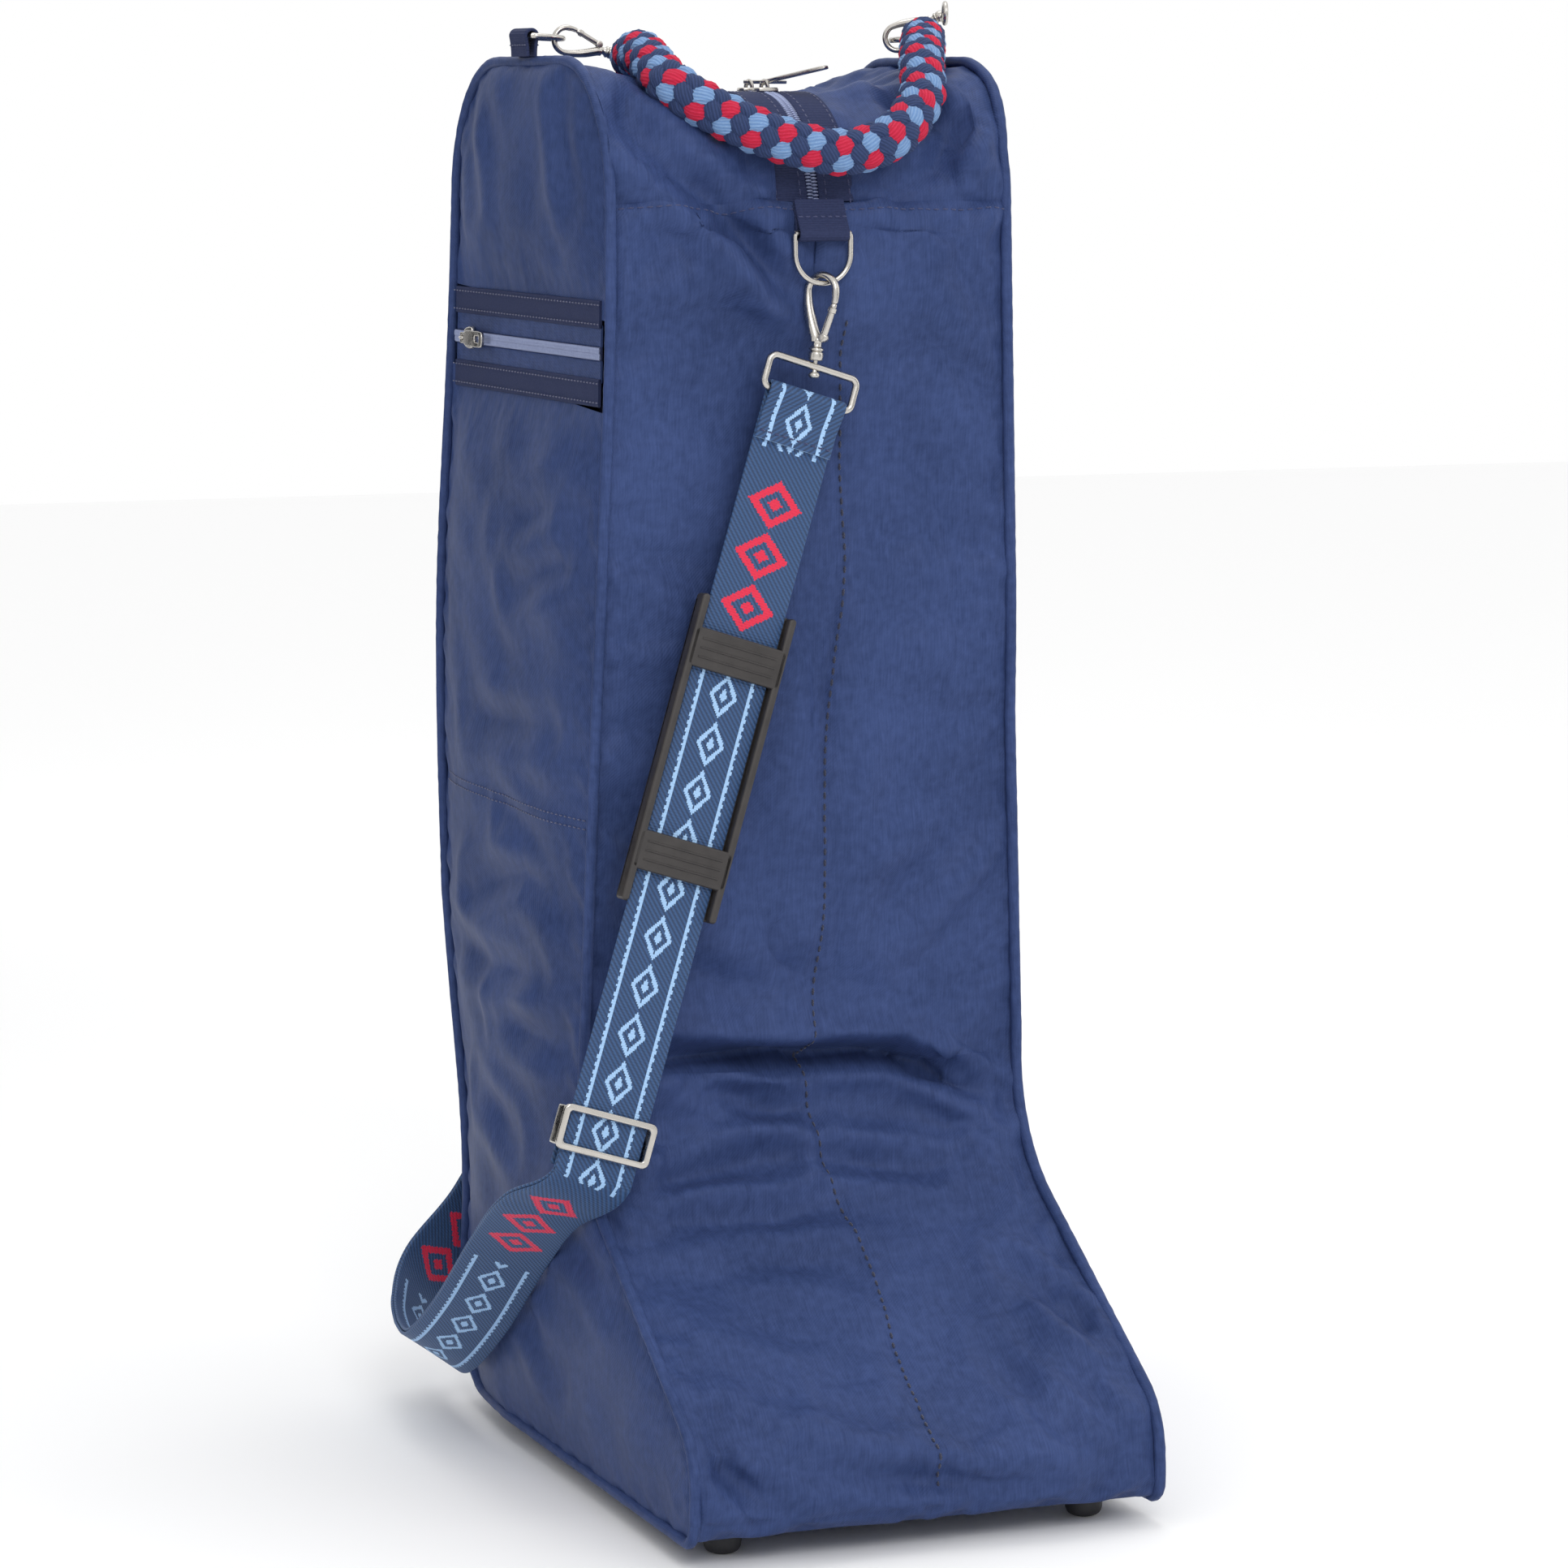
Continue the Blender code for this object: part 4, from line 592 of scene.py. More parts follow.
from_edge = np.clip((0.096 - abs(fine_gusset[..., 0])) / 0.055, 0, 1)
from_edge = from_edge ** 2 * (3 - 2 * from_edge)
crease = 0.0085 * np.exp(-(away / 0.0040) ** 2)
lift += np.where(is_front, (overhang - crease) * from_edge, 0)
seam_away, _ = line_distance(xz, CENTRE_SEAM)
lift -= np.where(is_front, 0.0011 * np.exp(-(seam_away / 0.0022) ** 2), 0)
for mark in (AT_FRONT_SEAM, AT_REAR_SEAM):
    lift -= 0.0014 * np.exp(-((at_grid - mark) / 0.0020) ** 2)
    near = np.exp(-((at_grid - mark) / 0.016) ** 2)
    lift += 0.0012 * near * wandering(fine_cloth * (1, 0.3), 31, 0.018) * (abs(at_grid - mark) > 0.001)
lift = np.where(is_base, 0.0, lift)
fine_gusset = fine_gusset - normals_of(fine_gusset) * lift[..., None]

step_of = {mark: int(np.argmin(abs(fine_at - mark))) for mark in (AT_HEEL, AT_REAR_SEAM, AT_FRONT_SEAM,
        AT_ANKLE)}
opening_col = int(np.argmin(abs(fine_across + ZIP_OPENING / half_width(BAG_HEIGHT - 0.02))))
cols = len(fine_across)
pieces = (
    ("base_cloth", 0, step_of[AT_HEEL], 0, cols - 1, "base_panel"),
    ("back_cloth", step_of[AT_HEEL], step_of[AT_REAR_SEAM], 0, cols - 1, "back_panel"),
    ("top_cloth_left", step_of[AT_REAR_SEAM], step_of[AT_FRONT_SEAM], 0, opening_col, "top_panel_left"),
    ("top_cloth_right", step_of[AT_REAR_SEAM], step_of[AT_FRONT_SEAM], cols - 1 - opening_col, cols - 1,
     "top_panel_right"),
    ("front_cloth", step_of[AT_FRONT_SEAM], step_of[AT_ANKLE], 0, cols - 1, "front_panel"),
    ("instep_cloth", step_of[AT_ANKLE], len(fine_at) - 1, 0, cols - 1, "instep_panel"),
)
skins = {}
for name, first, last, left, right, node in pieces:
    rows = slice(first, last + 1)
    held = slice(left, right + 1)
    piece = grid_object(name, fine_gusset[rows, held], fine_cloth[rows, held], case_cloth, flip=False)
    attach(piece, "bag")
    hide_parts(node)
    skins[name] = piece

for side, grid in ((-1, grids[1]), (1, grids[2])):
    points = finer(grid, REFINE)
    flat = finer(spots[side], REFINE)
    count_up, count_across = points.shape[:2]
    share_up = np.linspace(0, 1, count_up)[:, None]
    share_across = np.linspace(0, 1, count_across)[None, :]
    wide = np.linalg.norm(flat[:, -1] - flat[:, 0], axis=1)[:, None]
    edge = np.minimum(np.minimum(share_across, 1 - share_across) * wide,
                      np.minimum(share_up * 0.70, (1 - share_up) * 0.75))
    bulge = 0.0055 * np.ones_like(edge)
    calm = np.ones_like(edge)
    if side < 0:
        off = abs(flat[..., 1] - POCKET_ZIP_HEIGHT)
        calm = np.clip((off - POCKET_BAND) / 0.030, 0, 1)
        bulge *= calm
    lift = flesh_out(flat, edge, bulge, 11 + side)
    lift += fold_lift(flat, SIDE_FOLDS) * (calm if side < 0 else 0.8)
    if side < 0:
        lift = lift * np.clip((off - POCKET_BAND + 0.006) / 0.02, 0, 1)
    out = np.array((side, 0, 0))
    points = points + out * lift[..., None]
    splits = [("side_cloth_right", 0, count_up - 1, ("side_panel_right",))]
    if side < 0:
        middle = points[:, count_across // 2, 2]
        low = int(np.argmin(abs(middle - (POCKET_ZIP_HEIGHT - POCKET_BAND + 0.004))))
        high = int(np.argmin(abs(middle - (POCKET_ZIP_HEIGHT + POCKET_BAND - 0.004))))
        splits = [("side_cloth_left", 0, low, ("side_panel_left",)),
                  ("side_cloth_left_top", high, count_up - 1, ("side_panel_left_top",))]
    for name, first, last, nodes in splits:
        piece = grid_object(name, points[first:last + 1], flat[first:last + 1], case_cloth, flip=side < 0)
        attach(piece, "bag")
        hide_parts(*nodes)
        skins[name] = piece


# ------------------------------------------------------------ Piping and seams
# A cord covered in the same satin is sewn into both edges of the gusset, all round the boot
# shape. A seam runs down the middle of the front, and others close the top and hold the pocket.

PIPING_RADIUS = 0.0026
STITCH = (0.0030, 0.0007, 0.0006)
STITCH_PITCH = 0.0042


def unit(vectors):
    vectors = np.asarray(vectors, float)
    return vectors / np.maximum(np.linalg.norm(vectors, axis=-1, keepdims=True), 1e-12)


def mesh_piece(name, verts, quads, uvs, caps, look, flat_degrees=50):
    mesh = bpy.data.meshes.new(name)
    mesh.from_pydata(np.asarray(verts).tolist(), [], [list(q) for q in quads] + [list(c) for c in caps])
    uv = mesh.uv_layers.new(name="cloth")
    count = len(quads) * 4
    values = np.zeros((count + sum(len(c) for c in caps), 2), np.float32)
    values[:count] = uvs
    uv.data.foreach_set("uv", values.reshape(-1))
    mesh.shade_smooth()
    mesh.set_sharp_from_angle(angle=math.radians(flat_degrees))
    mesh.materials.append(look)
    return place(bpy.data.objects.new(name, mesh))


def swept(name, rings, look, closed=False, around=None, along=None):
    """A skin over rings of points (n, m, 3); UVs are metres round and along it."""
    n, m = rings.shape[:2]
    index = np.arange(n * m).reshape(n, m)
    index = np.concatenate((index, index[:, :1]), axis=1)
    if closed:
        index = np.concatenate((index, index[:1]))
    quads = np.stack([index[:-1, :-1], index[:-1, 1:], index[1:, 1:], index[1:, :-1]],
                     axis=-1).reshape(-1, 4)
    if around is None:
        around = measured(np.concatenate((rings[0], rings[0][:1])))
    if along is None:
        middle = rings.mean(axis=1)
        along = measured(np.concatenate((middle, middle[:1])) if closed else middle)
    u, v = np.meshgrid(around, along)
    spot = np.stack([u, v], axis=-1)
    uvs = np.stack([spot[:-1, :-1], spot[:-1, 1:], spot[1:, 1:], spot[1:, :-1]], axis=2).reshape(-1, 2)
    caps = [] if closed else [index[0, :-1][::-1].tolist(), index[-1, :-1].tolist()]
    return mesh_piece(name, rings.reshape(-1, 3), quads.tolist(), uvs, caps, look)


def carried(points, closed=False, first=(0, 0, 1)):
    """Tangents, and side directions carried along the points without twisting."""
    points = np.asarray(points, float)
    tangents = unit(np.roll(points, -1, 0) - np.roll(points, 1, 0)) if closed else unit(np.gradient(points,
            axis=0))
    up = np.array(first, float)
    if abs(up @ tangents[0]) > 0.9:
        up = np.array((1.0, 0.0, 0.0))
    ups = np.empty_like(points)
    for i, tangent in enumerate(tangents):
        up = unit(up - tangent * (up @ tangent))
        ups[i] = up
    if closed:
        last = unit(ups[-1] - tangents[0] * (ups[-1] @ tangents[0]))
        turn = math.atan2(np.cross(last, ups[0]) @ tangents[0], last @ ups[0])
        turns = (turn * np.arange(len(points)) / len(points))[:, None]
        ups = ups * np.cos(turns) + np.cross(tangents, ups) * np.sin(turns)
    return tangents, ups


def circle(count, wide=1.0, high=1.0):
    turns = np.arange(count) * 2 * math.pi / count
    return np.stack([high * np.cos(turns), wide * np.sin(turns)], axis=-1)


def tube(name, points, radius, look, sides=14, closed=False, section=None, ups=None):
    """A rod along points; section is its outline as shares of the radius, up and sideways."""
    tangents, carried_ups = carried(points, closed)
    ups = carried_ups if ups is None else unit(ups - tangents * np.sum(ups * tangents, axis=1,
            keepdims=True))
    section = circle(sides) if section is None else section
    radius = np.broadcast_to(radius, len(points))[:, None, None]
    sideways = np.cross(tangents, ups)
    rings = np.asarray(points)[:, None] + radius * (section[None, :, :1] * ups[:, None] + section[None, :,
            1:] * sideways[:, None])
    return swept(name, rings, look, closed)


def smooth_line(points, times, closed=False):
    """Catmull-Rom points through a run of points, `times` as many."""
    points = np.asarray(points, float)
    padded = (np.concatenate((points[-1:], points, points[:2])) if closed
              else np.concatenate((2 * points[:1] - points[1:2], points, 2 * points[-1:] - points[-2:-1])))
    a, b, c, d = padded[:-3], padded[1:-2], padded[2:-1], padded[3:]
    steps = []
    for step in range(times):
        t = step / times
        steps.append(0.5 * (2 * b + (c - a) * t + (2 * a - 5 * b + 4 * c - d) * t * t
                            + (3 * b - a - 3 * c + d) * t ** 3))
    run = np.stack(steps, axis=1).reshape(-1, points.shape[1])
    return run if closed else np.concatenate((run, points[-1:]))


def evenly(points, spacing):
    """Points re-spaced evenly along their own line."""
    at = measured(points)
    marks = np.linspace(0, at[-1], max(2, round(at[-1] / spacing) + 1))
    return np.stack([np.interp(marks, at, points[:, k]) for k in range(points.shape[1])], axis=-1)


def repeater():
    """Geometry nodes that set one small rounded shape again and again along a line."""
    tree = bpy.data.node_groups.new("repeat_along_line", "GeometryNodeTree")
    for name, kind in (("Line", "NodeSocketGeometry"), ("Spacing", "NodeSocketFloat"),
                       ("Size", "NodeSocketVector"), ("Look", "NodeSocketMaterial")):
        tree.interface.new_socket(name, in_out="INPUT", socket_type=kind)
    tree.interface.new_socket("Pieces", in_out="OUTPUT", socket_type="NodeSocketGeometry")
    given = add(tree, "NodeGroupInput").outputs
    run = add(tree, "GeometryNodeMeshToCurve", {"Mesh": given["Line"]})
    spaced = add(tree, "GeometryNodeResampleCurve",
                 {"Curve": run.outputs["Curve"], "Length": given["Spacing"]},
                 mode="LENGTH")
    ball = add(tree, "GeometryNodeMeshUVSphere", {"Segments": 8, "Rings": 6, "Radius": 0.5})
    shaped = add(tree, "GeometryNodeTransform", {"Geometry": ball.outputs["Mesh"], "Scale": given["Size"]})
    out = add(tree, "GeometryNodeInputNamedAttribute", {"Name": "out"}, data_type="FLOAT_VECTOR")
    along = add(tree, "FunctionNodeAlignRotationToVector",
                {"Vector": add(tree, "GeometryNodeInputTangent").outputs["Tangent"]}, axis="X")
    turned = add(tree, "FunctionNodeAlignRotationToVector",
                 {"Rotation": along.outputs["Rotation"], "Vector": out.outputs["Attribute"]}, axis="Z",
                 pivot_axis="X")
    set_out = add(tree, "GeometryNodeInstanceOnPoints",
                  {"Points": spaced.outputs["Curve"], "Instance": shaped.outputs["Geometry"],
                   "Rotation": turned.outputs["Rotation"]})
    real = add(tree, "GeometryNodeRealizeInstances", {"Geometry": set_out.outputs["Instances"]})
    soft = add(tree, "GeometryNodeSetShadeSmooth", {"Geometry": real.outputs["Geometry"]})
    looked = add(tree, "GeometryNodeSetMaterial",
                 {"Geometry": soft.outputs["Geometry"], "Material": given["Look"]})
    add(tree, "NodeGroupOutput", {"Pieces": looked.outputs["Geometry"]})
    return tree


repeat_tree = repeater()


def repeated(name, lines, spacing, size, look, body="bag"):
    """One object of small shapes set along lines of (points, outward directions)."""
    verts, edges, outs = [], [], []
    for points, out in lines:
        start = len(verts)
        verts += np.asarray(points).tolist()
        outs += np.broadcast_to(out, (len(points), 3)).tolist()
        edges += [(start + i, start + i + 1) for i in range(len(points) - 1)]
    mesh = bpy.data.meshes.new(name + "_line")
    mesh.from_pydata(verts, edges, [])
    attribute = mesh.attributes.new("out", "FLOAT_VECTOR", "POINT")
    attribute.data.foreach_set("vector", np.array(outs, np.float32).reshape(-1))
    guide = place(bpy.data.objects.new(name + "_line", mesh))
    modifier = guide.modifiers.new("repeat", "NODES")
    modifier.node_group = repeat_tree
    sockets = {item.name: item.identifier for item in repeat_tree.interface.items_tree if item.in_out
               == "INPUT"}
    modifier[sockets["Spacing"]] = float(spacing)
    modifier[sockets["Size"]] = tuple(float(v) for v in size)
    modifier[sockets["Look"]] = look
    made = bpy.data.meshes.new_from_object(guide.evaluated_get(bpy.context.evaluated_depsgraph_get()))
    made.name = name
    bpy.data.objects.remove(guide)
    piece = place(bpy.data.objects.new(name, made))
    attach(piece, body)
    return piece


def sewing_thread(name, colour):
    """Polyester thread: two plies that show as a slanted ridge across each stitch."""
    made, tree, shader = new_material(name, roughness=0.6)
    shader.inputs["Base Color"].default_value = srgb(colour)
    shader.inputs["Sheen Weight"].default_value = 0.3
    spot = add(tree, "ShaderNodeTexCoord").outputs["Object"]
    ply = add(tree, "ShaderNodeTexWave", {"Vector": spot, "Scale": 0.314 / 0.0007},
              bands_direction="DIAGONAL")
    bump = add(tree, "ShaderNodeBump", {"Height": ply.outputs["Fac"], "Strength": 0.5, "Distance": 0.0002})
    tree.links.new(bump.outputs["Normal"], shader.inputs["Normal"])
    return made


thread_navy = sewing_thread("sewing_thread_navy", "2c3460")
for name, side in (("left", -1), ("right", 1)):
    flat = outline(np.linspace(0, ROUND, 520, endpoint=False))
    along = settle(np.concatenate((side * half_width(flat[:, 1:]), flat), axis=1))
    gathered = PIPING_RADIUS * (1 + 0.05 * wandering(flat, 5, 0.006))
    piece = tube(f"piping_cord_{name}", in_world(along), gathered, case_cloth, closed=True)
    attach(piece, "bag")
    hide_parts(f"piping_{name}")

verts, polygons = [], []
for skin in skins.values():
    start = len(verts)
    verts += [v.co.copy() for v in skin.data.vertices]
    polygons += [[start + i for i in p.vertices] for p in skin.data.polygons]
skin_tree = BVHTree.FromPolygons(verts, polygons)


def on_cloth(points, toward, lift=0.0002):
    """Points dropped on the cloth from outside, with the cloth's outward direction there."""
    found, outs = [], []
    toward = Vector(toward).normalized()
    for point in points:
        spot, normal, _, _ = skin_tree.ray_cast(Vector(point) - toward * 0.05, toward)
        if spot is None:
            spot, normal, _, _ = skin_tree.find_nearest(Vector(point))
        if normal.dot(toward) > 0:
            normal = -normal
        found.append(spot + normal * lift)
        outs.append(normal)
    return np.array(found), np.array(outs)


def front_line(knots, shift=0.0):
    """A line of (x, height) over the front of the case, dropped on its cloth."""
    run = evenly(smooth_line(knots, 12), 0.002)
    run[:, 0] += shift
    depth = []
    for x, z in run:
        mark = nearest_at(SHAFT_DEPTH + (0 if z > 0.2 else (0.2 - z)), z, AT_FRONT_TOP, ROUND)
        depth.append(outline(mark)[0])
    spots = np.stack([run[:, 0], BACK_Y - np.array(depth), run[:, 1]], axis=-1)
    return on_cloth(spots, (0, 1, -0.35))


thread_ink = sewing_thread("sewing_thread_ink", "161c38")
CENTRE_STITCH = (0.0034, 0.0013, 0.0009)
CENTRE_PITCH = 0.0052
below_ring = ((.012, .530),) + CENTRE_SEAM[1:]
repeated("centre_seam_stitches", [front_line(below_ring, 0.0012)], CENTRE_PITCH, CENTRE_STITCH, thread_ink)
seam_lines = [front_line(((-.094, .5825), (-.03, .5820), (.03, .5820), (.092, .5825)))]
for height in (0.305, 0.309):
    across = np.stack([np.full(60, -0.13), BACK_Y - np.linspace(0.004, 0.209, 60), np.full(60, height)],
                      axis=-1)
    seam_lines.append(on_cloth(across, (1, 0, 0)))
repeated("case_stitches", seam_lines, STITCH_PITCH, STITCH, thread_navy)


# ------------------------------------------------------------ Zips
# Coil zips in dark grosgrain: one over the top of the bag with two sliders, and one across
# the pocket side whose tapes are half covered by bindings. Each slider carries a flat tag.

TAPE_COLOUR = "252b45"
COIL_COLOUR = "939dbd"
COIL_PITCH = 0.0016
COIL_TOOTH = (0.0011, 0.0034, 0.0017)
COIL_OFFSET = 0.0013
PULLER_LENGTH = 0.028
PULLER_WIDTH = 0.0075
TOP_PULLER_YAW = math.radians(40)


def grosgrain(name, colour, pitch=0.0012):
    """Ribbed tape: cords run across its width, with a hard-wearing dull finish."""
    made, tree, shader = new_material(name, roughness=0.62)
    shader.inputs["Sheen Weight"].default_value = 0.04
    shader.inputs["Sheen Tint"].default_value = srgb("7d88b4")
    shader.inputs["Specular IOR Level"].default_value = 0.06
    cloth = add(tree, "ShaderNodeUVMap", uv_map="cloth").outputs["UV"]
    rib = add(tree, "ShaderNodeTexWave", {"Vector": cloth, "Scale": 0.314 / pitch}, bands_direction="Y")
    fuzz = add(tree, "ShaderNodeTexNoise", {"Vector": cloth, "Scale": 900.0, "Detail": 3.0})
    tone = add(tree, "ShaderNodeMixRGB", {"Fac": fuzz.outputs["Fac"], "Color1": srgb(colour)},
               blend_type="MIX")
    bright = [min(1.0, c * 1.9 + 0.004) for c in srgb(colour)[:3]]
    tone.inputs["Color2"].default_value = (*bright, 1.0)
    tree.links.new(tone.outputs["Color"], shader.inputs["Base Color"])
    bump = add(tree, "ShaderNodeBump", {"Height": rib.outputs["Fac"], "Strength": 0.6, "Distance": 0.0003})
    tree.links.new(bump.outputs["Normal"], shader.inputs["Normal"])
    return made


def nickel_plate(name):
    """Bright nickel over a cast body: fine hairlines, and dull patches where hands and straps rub it."""
    made, tree, shader = new_material(name, roughness=0.2, metallic=1.0)
    shader.inputs["Base Color"].default_value = srgb("c2beb8")
    spot = add(tree, "ShaderNodeTexCoord").outputs["Object"]
    worn = add(tree, "ShaderNodeTexNoise", {"Vector": spot, "Scale": 190.0, "Detail": 4.0})
    rough = add(tree, "ShaderNodeMapRange", {"Value": worn.outputs["Fac"], "From Min": 0.3, "From Max": 0.7,
                                             "To Min": 0.13, "To Max": 0.36})
    tree.links.new(rough.outputs["Result"], shader.inputs["Roughness"])
    stretched = add(tree, "ShaderNodeMapping", {"Vector": spot, "Scale": (2600.0, 2600.0, 260.0)})
    hair = add(tree, "ShaderNodeTexNoise",
               {"Vector": stretched.outputs["Vector"], "Scale": 1.0, "Detail": 2.0})
    bump = add(tree, "ShaderNodeBump", {"Height": hair.outputs["Fac"], "Strength": 0.08,
                                        "Distance": 0.0001})
    tree.links.new(bump.outputs["Normal"], shader.inputs["Normal"])
    return made


def coil_plastic(name):
    """Moulded nylon coil with a pearly coat, its colour speckled between two blue-greys."""
    made, tree, shader = new_material(name, roughness=0.32, metallic=0.35)
    spot = add(tree, "ShaderNodeTexCoord").outputs["Object"]
    speck = add(tree, "ShaderNodeTexNoise", {"Vector": spot, "Scale": 700.0, "Detail": 2.0})
    tone = add(tree, "ShaderNodeMixRGB", {"Fac": speck.outputs["Fac"], "Color1": srgb("7d87aa"),
                                          "Color2": srgb(COIL_COLOUR)})
    tree.links.new(tone.outputs["Color"], shader.inputs["Base Color"])
    return made


def ribbon(name, places, wides, faces, width, thickness, look, across=10):
    """A flat band with rounded edges along places; UVs are metres across and along it."""
    half, t = width / 2, thickness / 2
    span = np.linspace(-half + t, half - t, across + 1)
    round_edge = [(half - t + t * math.cos(a), t * math.sin(a)) for a in (math.pi / 4, 0, -math.pi / 4)]
    outline_pairs = [(s, t) for s in span] + round_edge + [(s, -t) for s in span[::-1]] + [(-a, -b) for a,
            b in round_edge]
    pairs = np.array(outline_pairs)
    places, wides, faces = np.asarray(places), unit(wides), unit(faces)
    rings = places[:, None] + pairs[None, :, :1] * wides[:, None] + pairs[None, :, 1:] * faces[:, None]
    flow = np.gradient(places, axis=0)
    if np.sum(np.cross(faces, wides) * flow) < 0:
        rings = rings[:, ::-1]
        pairs = pairs[::-1]
    return swept(name, rings, look, around=np.append(pairs[:, 0], pairs[0, 0]), along=measured(places))


def plate(name, loops, thickness, bevel, matrix, look):
    """A flat stamped piece with holes and rounded edges, in the XY plane of matrix."""
    data = bpy.data.curves.new(name, "CURVE")
    data.dimensions = "2D"
    data.fill_mode = "BOTH"
    for loop in loops:
        spline = data.splines.new("POLY")
        spline.points.add(len(loop) - 1)
        for i, (x, y) in enumerate(loop):
            spline.points[i].co = (x, y, 0, 1)
        spline.use_cyclic_u = True
    data.extrude = thickness / 2 - bevel
    data.bevel_depth = bevel
    data.bevel_resolution = 3
    data.offset = -bevel
    flat = place(bpy.data.objects.new(name, data))
    mesh = bpy.data.meshes.new_from_object(flat.evaluated_get(bpy.context.evaluated_depsgraph_get()))
    bpy.data.objects.remove(flat)
    bm = bmesh.new()
    bm.from_mesh(mesh)
    bmesh.ops.remove_doubles(bm, verts=bm.verts, dist=1e-6)
    bmesh.ops.recalc_face_normals(bm, faces=bm.faces)
    bmesh.ops.transform(bm, matrix=matrix, verts=bm.verts)
    bm.to_mesh(mesh)
    bm.free()
    mesh.materials.clear()
    mesh.materials.append(look)
    mesh.shade_smooth()
    mesh.set_sharp_from_angle(angle=math.radians(35))
    return place(bpy.data.objects.new(name, mesh))


def round_rect(wide, long, radius, middle=(0, 0), steps=6):
    """A rectangle with round corners as a loop of points."""
    points = []
    for k, (sx, sy) in enumerate(((1, 1), (-1, 1), (-1, -1), (1, -1))):
        for step in range(steps + 1):
            turn = math.pi / 2 * (k + step / steps)
            points.append((middle[0] + sx * (wide / 2 - radius) + radius * math.cos(turn),
                           middle[1] + sy * (long / 2 - radius) + radius * math.sin(turn)))
    return points


def joined(name, objects):
    """Several meshes as one object that keeps their materials."""
    with bpy.context.temp_override(active_object=objects[0], selected_editable_objects=objects):
        bpy.ops.object.join()
    objects[0].name = name
    return objects[0]


def frame_of(origin, x_axis, y_axis, z_axis):
    turn = Matrix((Vector(x_axis).normalized(), Vector(y_axis).normalized(), Vector(z_axis).normalized()))
    return Matrix.Translation(origin) @ turn.transposed().to_4x4()


def finish_piece(piece, body, slot, *nodes):
    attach(piece, body)
    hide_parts(*nodes)
    return piece


grosgrain_dark = grosgrain("grosgrain_dark_navy", TAPE_COLOUR)
nickel = nickel_plate("nickel_plate")
coil = coil_plastic("nylon_coil")

zip_shares = np.linspace(0.0, 1.0, 150)
zip_flat = zip_point(zip_shares)
zip_out = unit(np.stack([np.gradient(zip_flat[:, 1]), -np.gradient(zip_flat[:, 0])], axis=-1) * -1)
zip_out = np.stack([np.zeros(len(zip_out)), -zip_out[:, 0], zip_out[:, 1]], axis=-1)
zip_middle = in_world(np.concatenate((np.zeros((len(zip_flat), 1)), zip_flat), axis=1))
for name, side in (("left", -1), ("right", 1)):
    places = zip_middle + zip_out * 0.0007 + (side * 0.0112, 0, 0)
    tape = ribbon(f"zip_tape_cloth_{name}", places, np.broadcast_to((1, 0, 0), places.shape), zip_out,
                  0.0170, 0.0012, grosgrain_dark)
    finish_piece(tape, "bag", "binding_tape", f"zip_tape_{name}")
core = ribbon("zip_core", zip_middle, np.broadcast_to((1, 0, 0), zip_middle.shape), zip_out, 0.0056, 0.0010,
              grosgrain_dark)
rows = [(zip_middle[shift:] + zip_out[shift:] * 0.0007 + (offset, 0, 0), zip_out[shift:])
        for shift, offset in ((0, -COIL_OFFSET), (0, COIL_OFFSET))]
rows[1] = (rows[1][0] + np.gradient(rows[1][0], axis=0) * 0.3, rows[1][1])
repeated("zip_coil_teeth", rows, COIL_PITCH, COIL_TOOTH, coil)
finish_piece(core, "bag", "zip_coil", "zip_chain")
edge_rows = [(zip_middle + zip_out * 0.0013 + (x, 0, 0), zip_out) for x in (-0.0178, -0.0062, 0.0062,
        0.0178)]
repeated("zip_tape_stitches", edge_rows, STITCH_PITCH, STITCH, thread_navy)

slope = (half_width(POCKET_ZIP_HEIGHT + 0.01) - half_width(POCKET_ZIP_HEIGHT - 0.01)) / 0.02
pocket_rise = np.array(unit((-slope, 0, 1)))
pocket_out = np.array(unit((-1, 0, -slope)))
pocket_y = np.linspace(FRONT_Y + 0.0030, BACK_Y - 0.0035, 60)
pocket_line = np.stack([np.full(60, -half_width(POCKET_ZIP_HEIGHT)), pocket_y,
                        np.full(60, POCKET_ZIP_HEIGHT)], axis=-1)


def pocket_band(name, low, high, thickness, lift, look):
    middle = pocket_line + pocket_rise * (low + high) / 2 + pocket_out * lift
    return ribbon(name, middle, np.broadcast_to(pocket_rise, middle.shape),
                  np.broadcast_to(pocket_out, middle.shape),
                  high - low, thickness, look)


for name, side in (("upper", 1), ("lower", -1)):
    inner = pocket_band(f"pocket_tape_{name}", *sorted((side * 0.0030, side * 0.0130)), 0.0010, -0.0003,
                        case_cloth)
    binding = pocket_band(f"pocket_binding_{name}", *sorted((side * 0.0112, side * 0.0238)), 0.0014, 0.0004,
                          grosgrain_dark)
    finish_piece(joined(f"pocket_zip_side_{name}", [inner, binding]), "bag", "binding_tape",
                 f"pocket_zip_tape_{name}")
pocket_core = pocket_band("pocket_zip_core", -0.0032, 0.0032, 0.0010, -0.0002, grosgrain_dark)
finish_piece(pocket_core, "bag", "zip_coil", "pocket_zip_chain")
pocket_rows = [(pocket_line + pocket_out * 0.0008 + pocket_rise * offset,
                pocket_out) for offset in (-COIL_OFFSET, COIL_OFFSET)]
pocket_rows[1] = (pocket_rows[1][0] + (0, COIL_PITCH / 2, 0), pocket_out)
repeated("pocket_coil_teeth", pocket_rows, COIL_PITCH, COIL_TOOTH, coil)
binding_seams = (-0.0218, -0.0132, 0.0132, 0.0218)
binding_rows = [(pocket_line + pocket_rise * z + pocket_out * 0.0018, pocket_out) for z in binding_seams]
repeated("pocket_binding_stitches", binding_rows, STITCH_PITCH, STITCH, thread_navy)


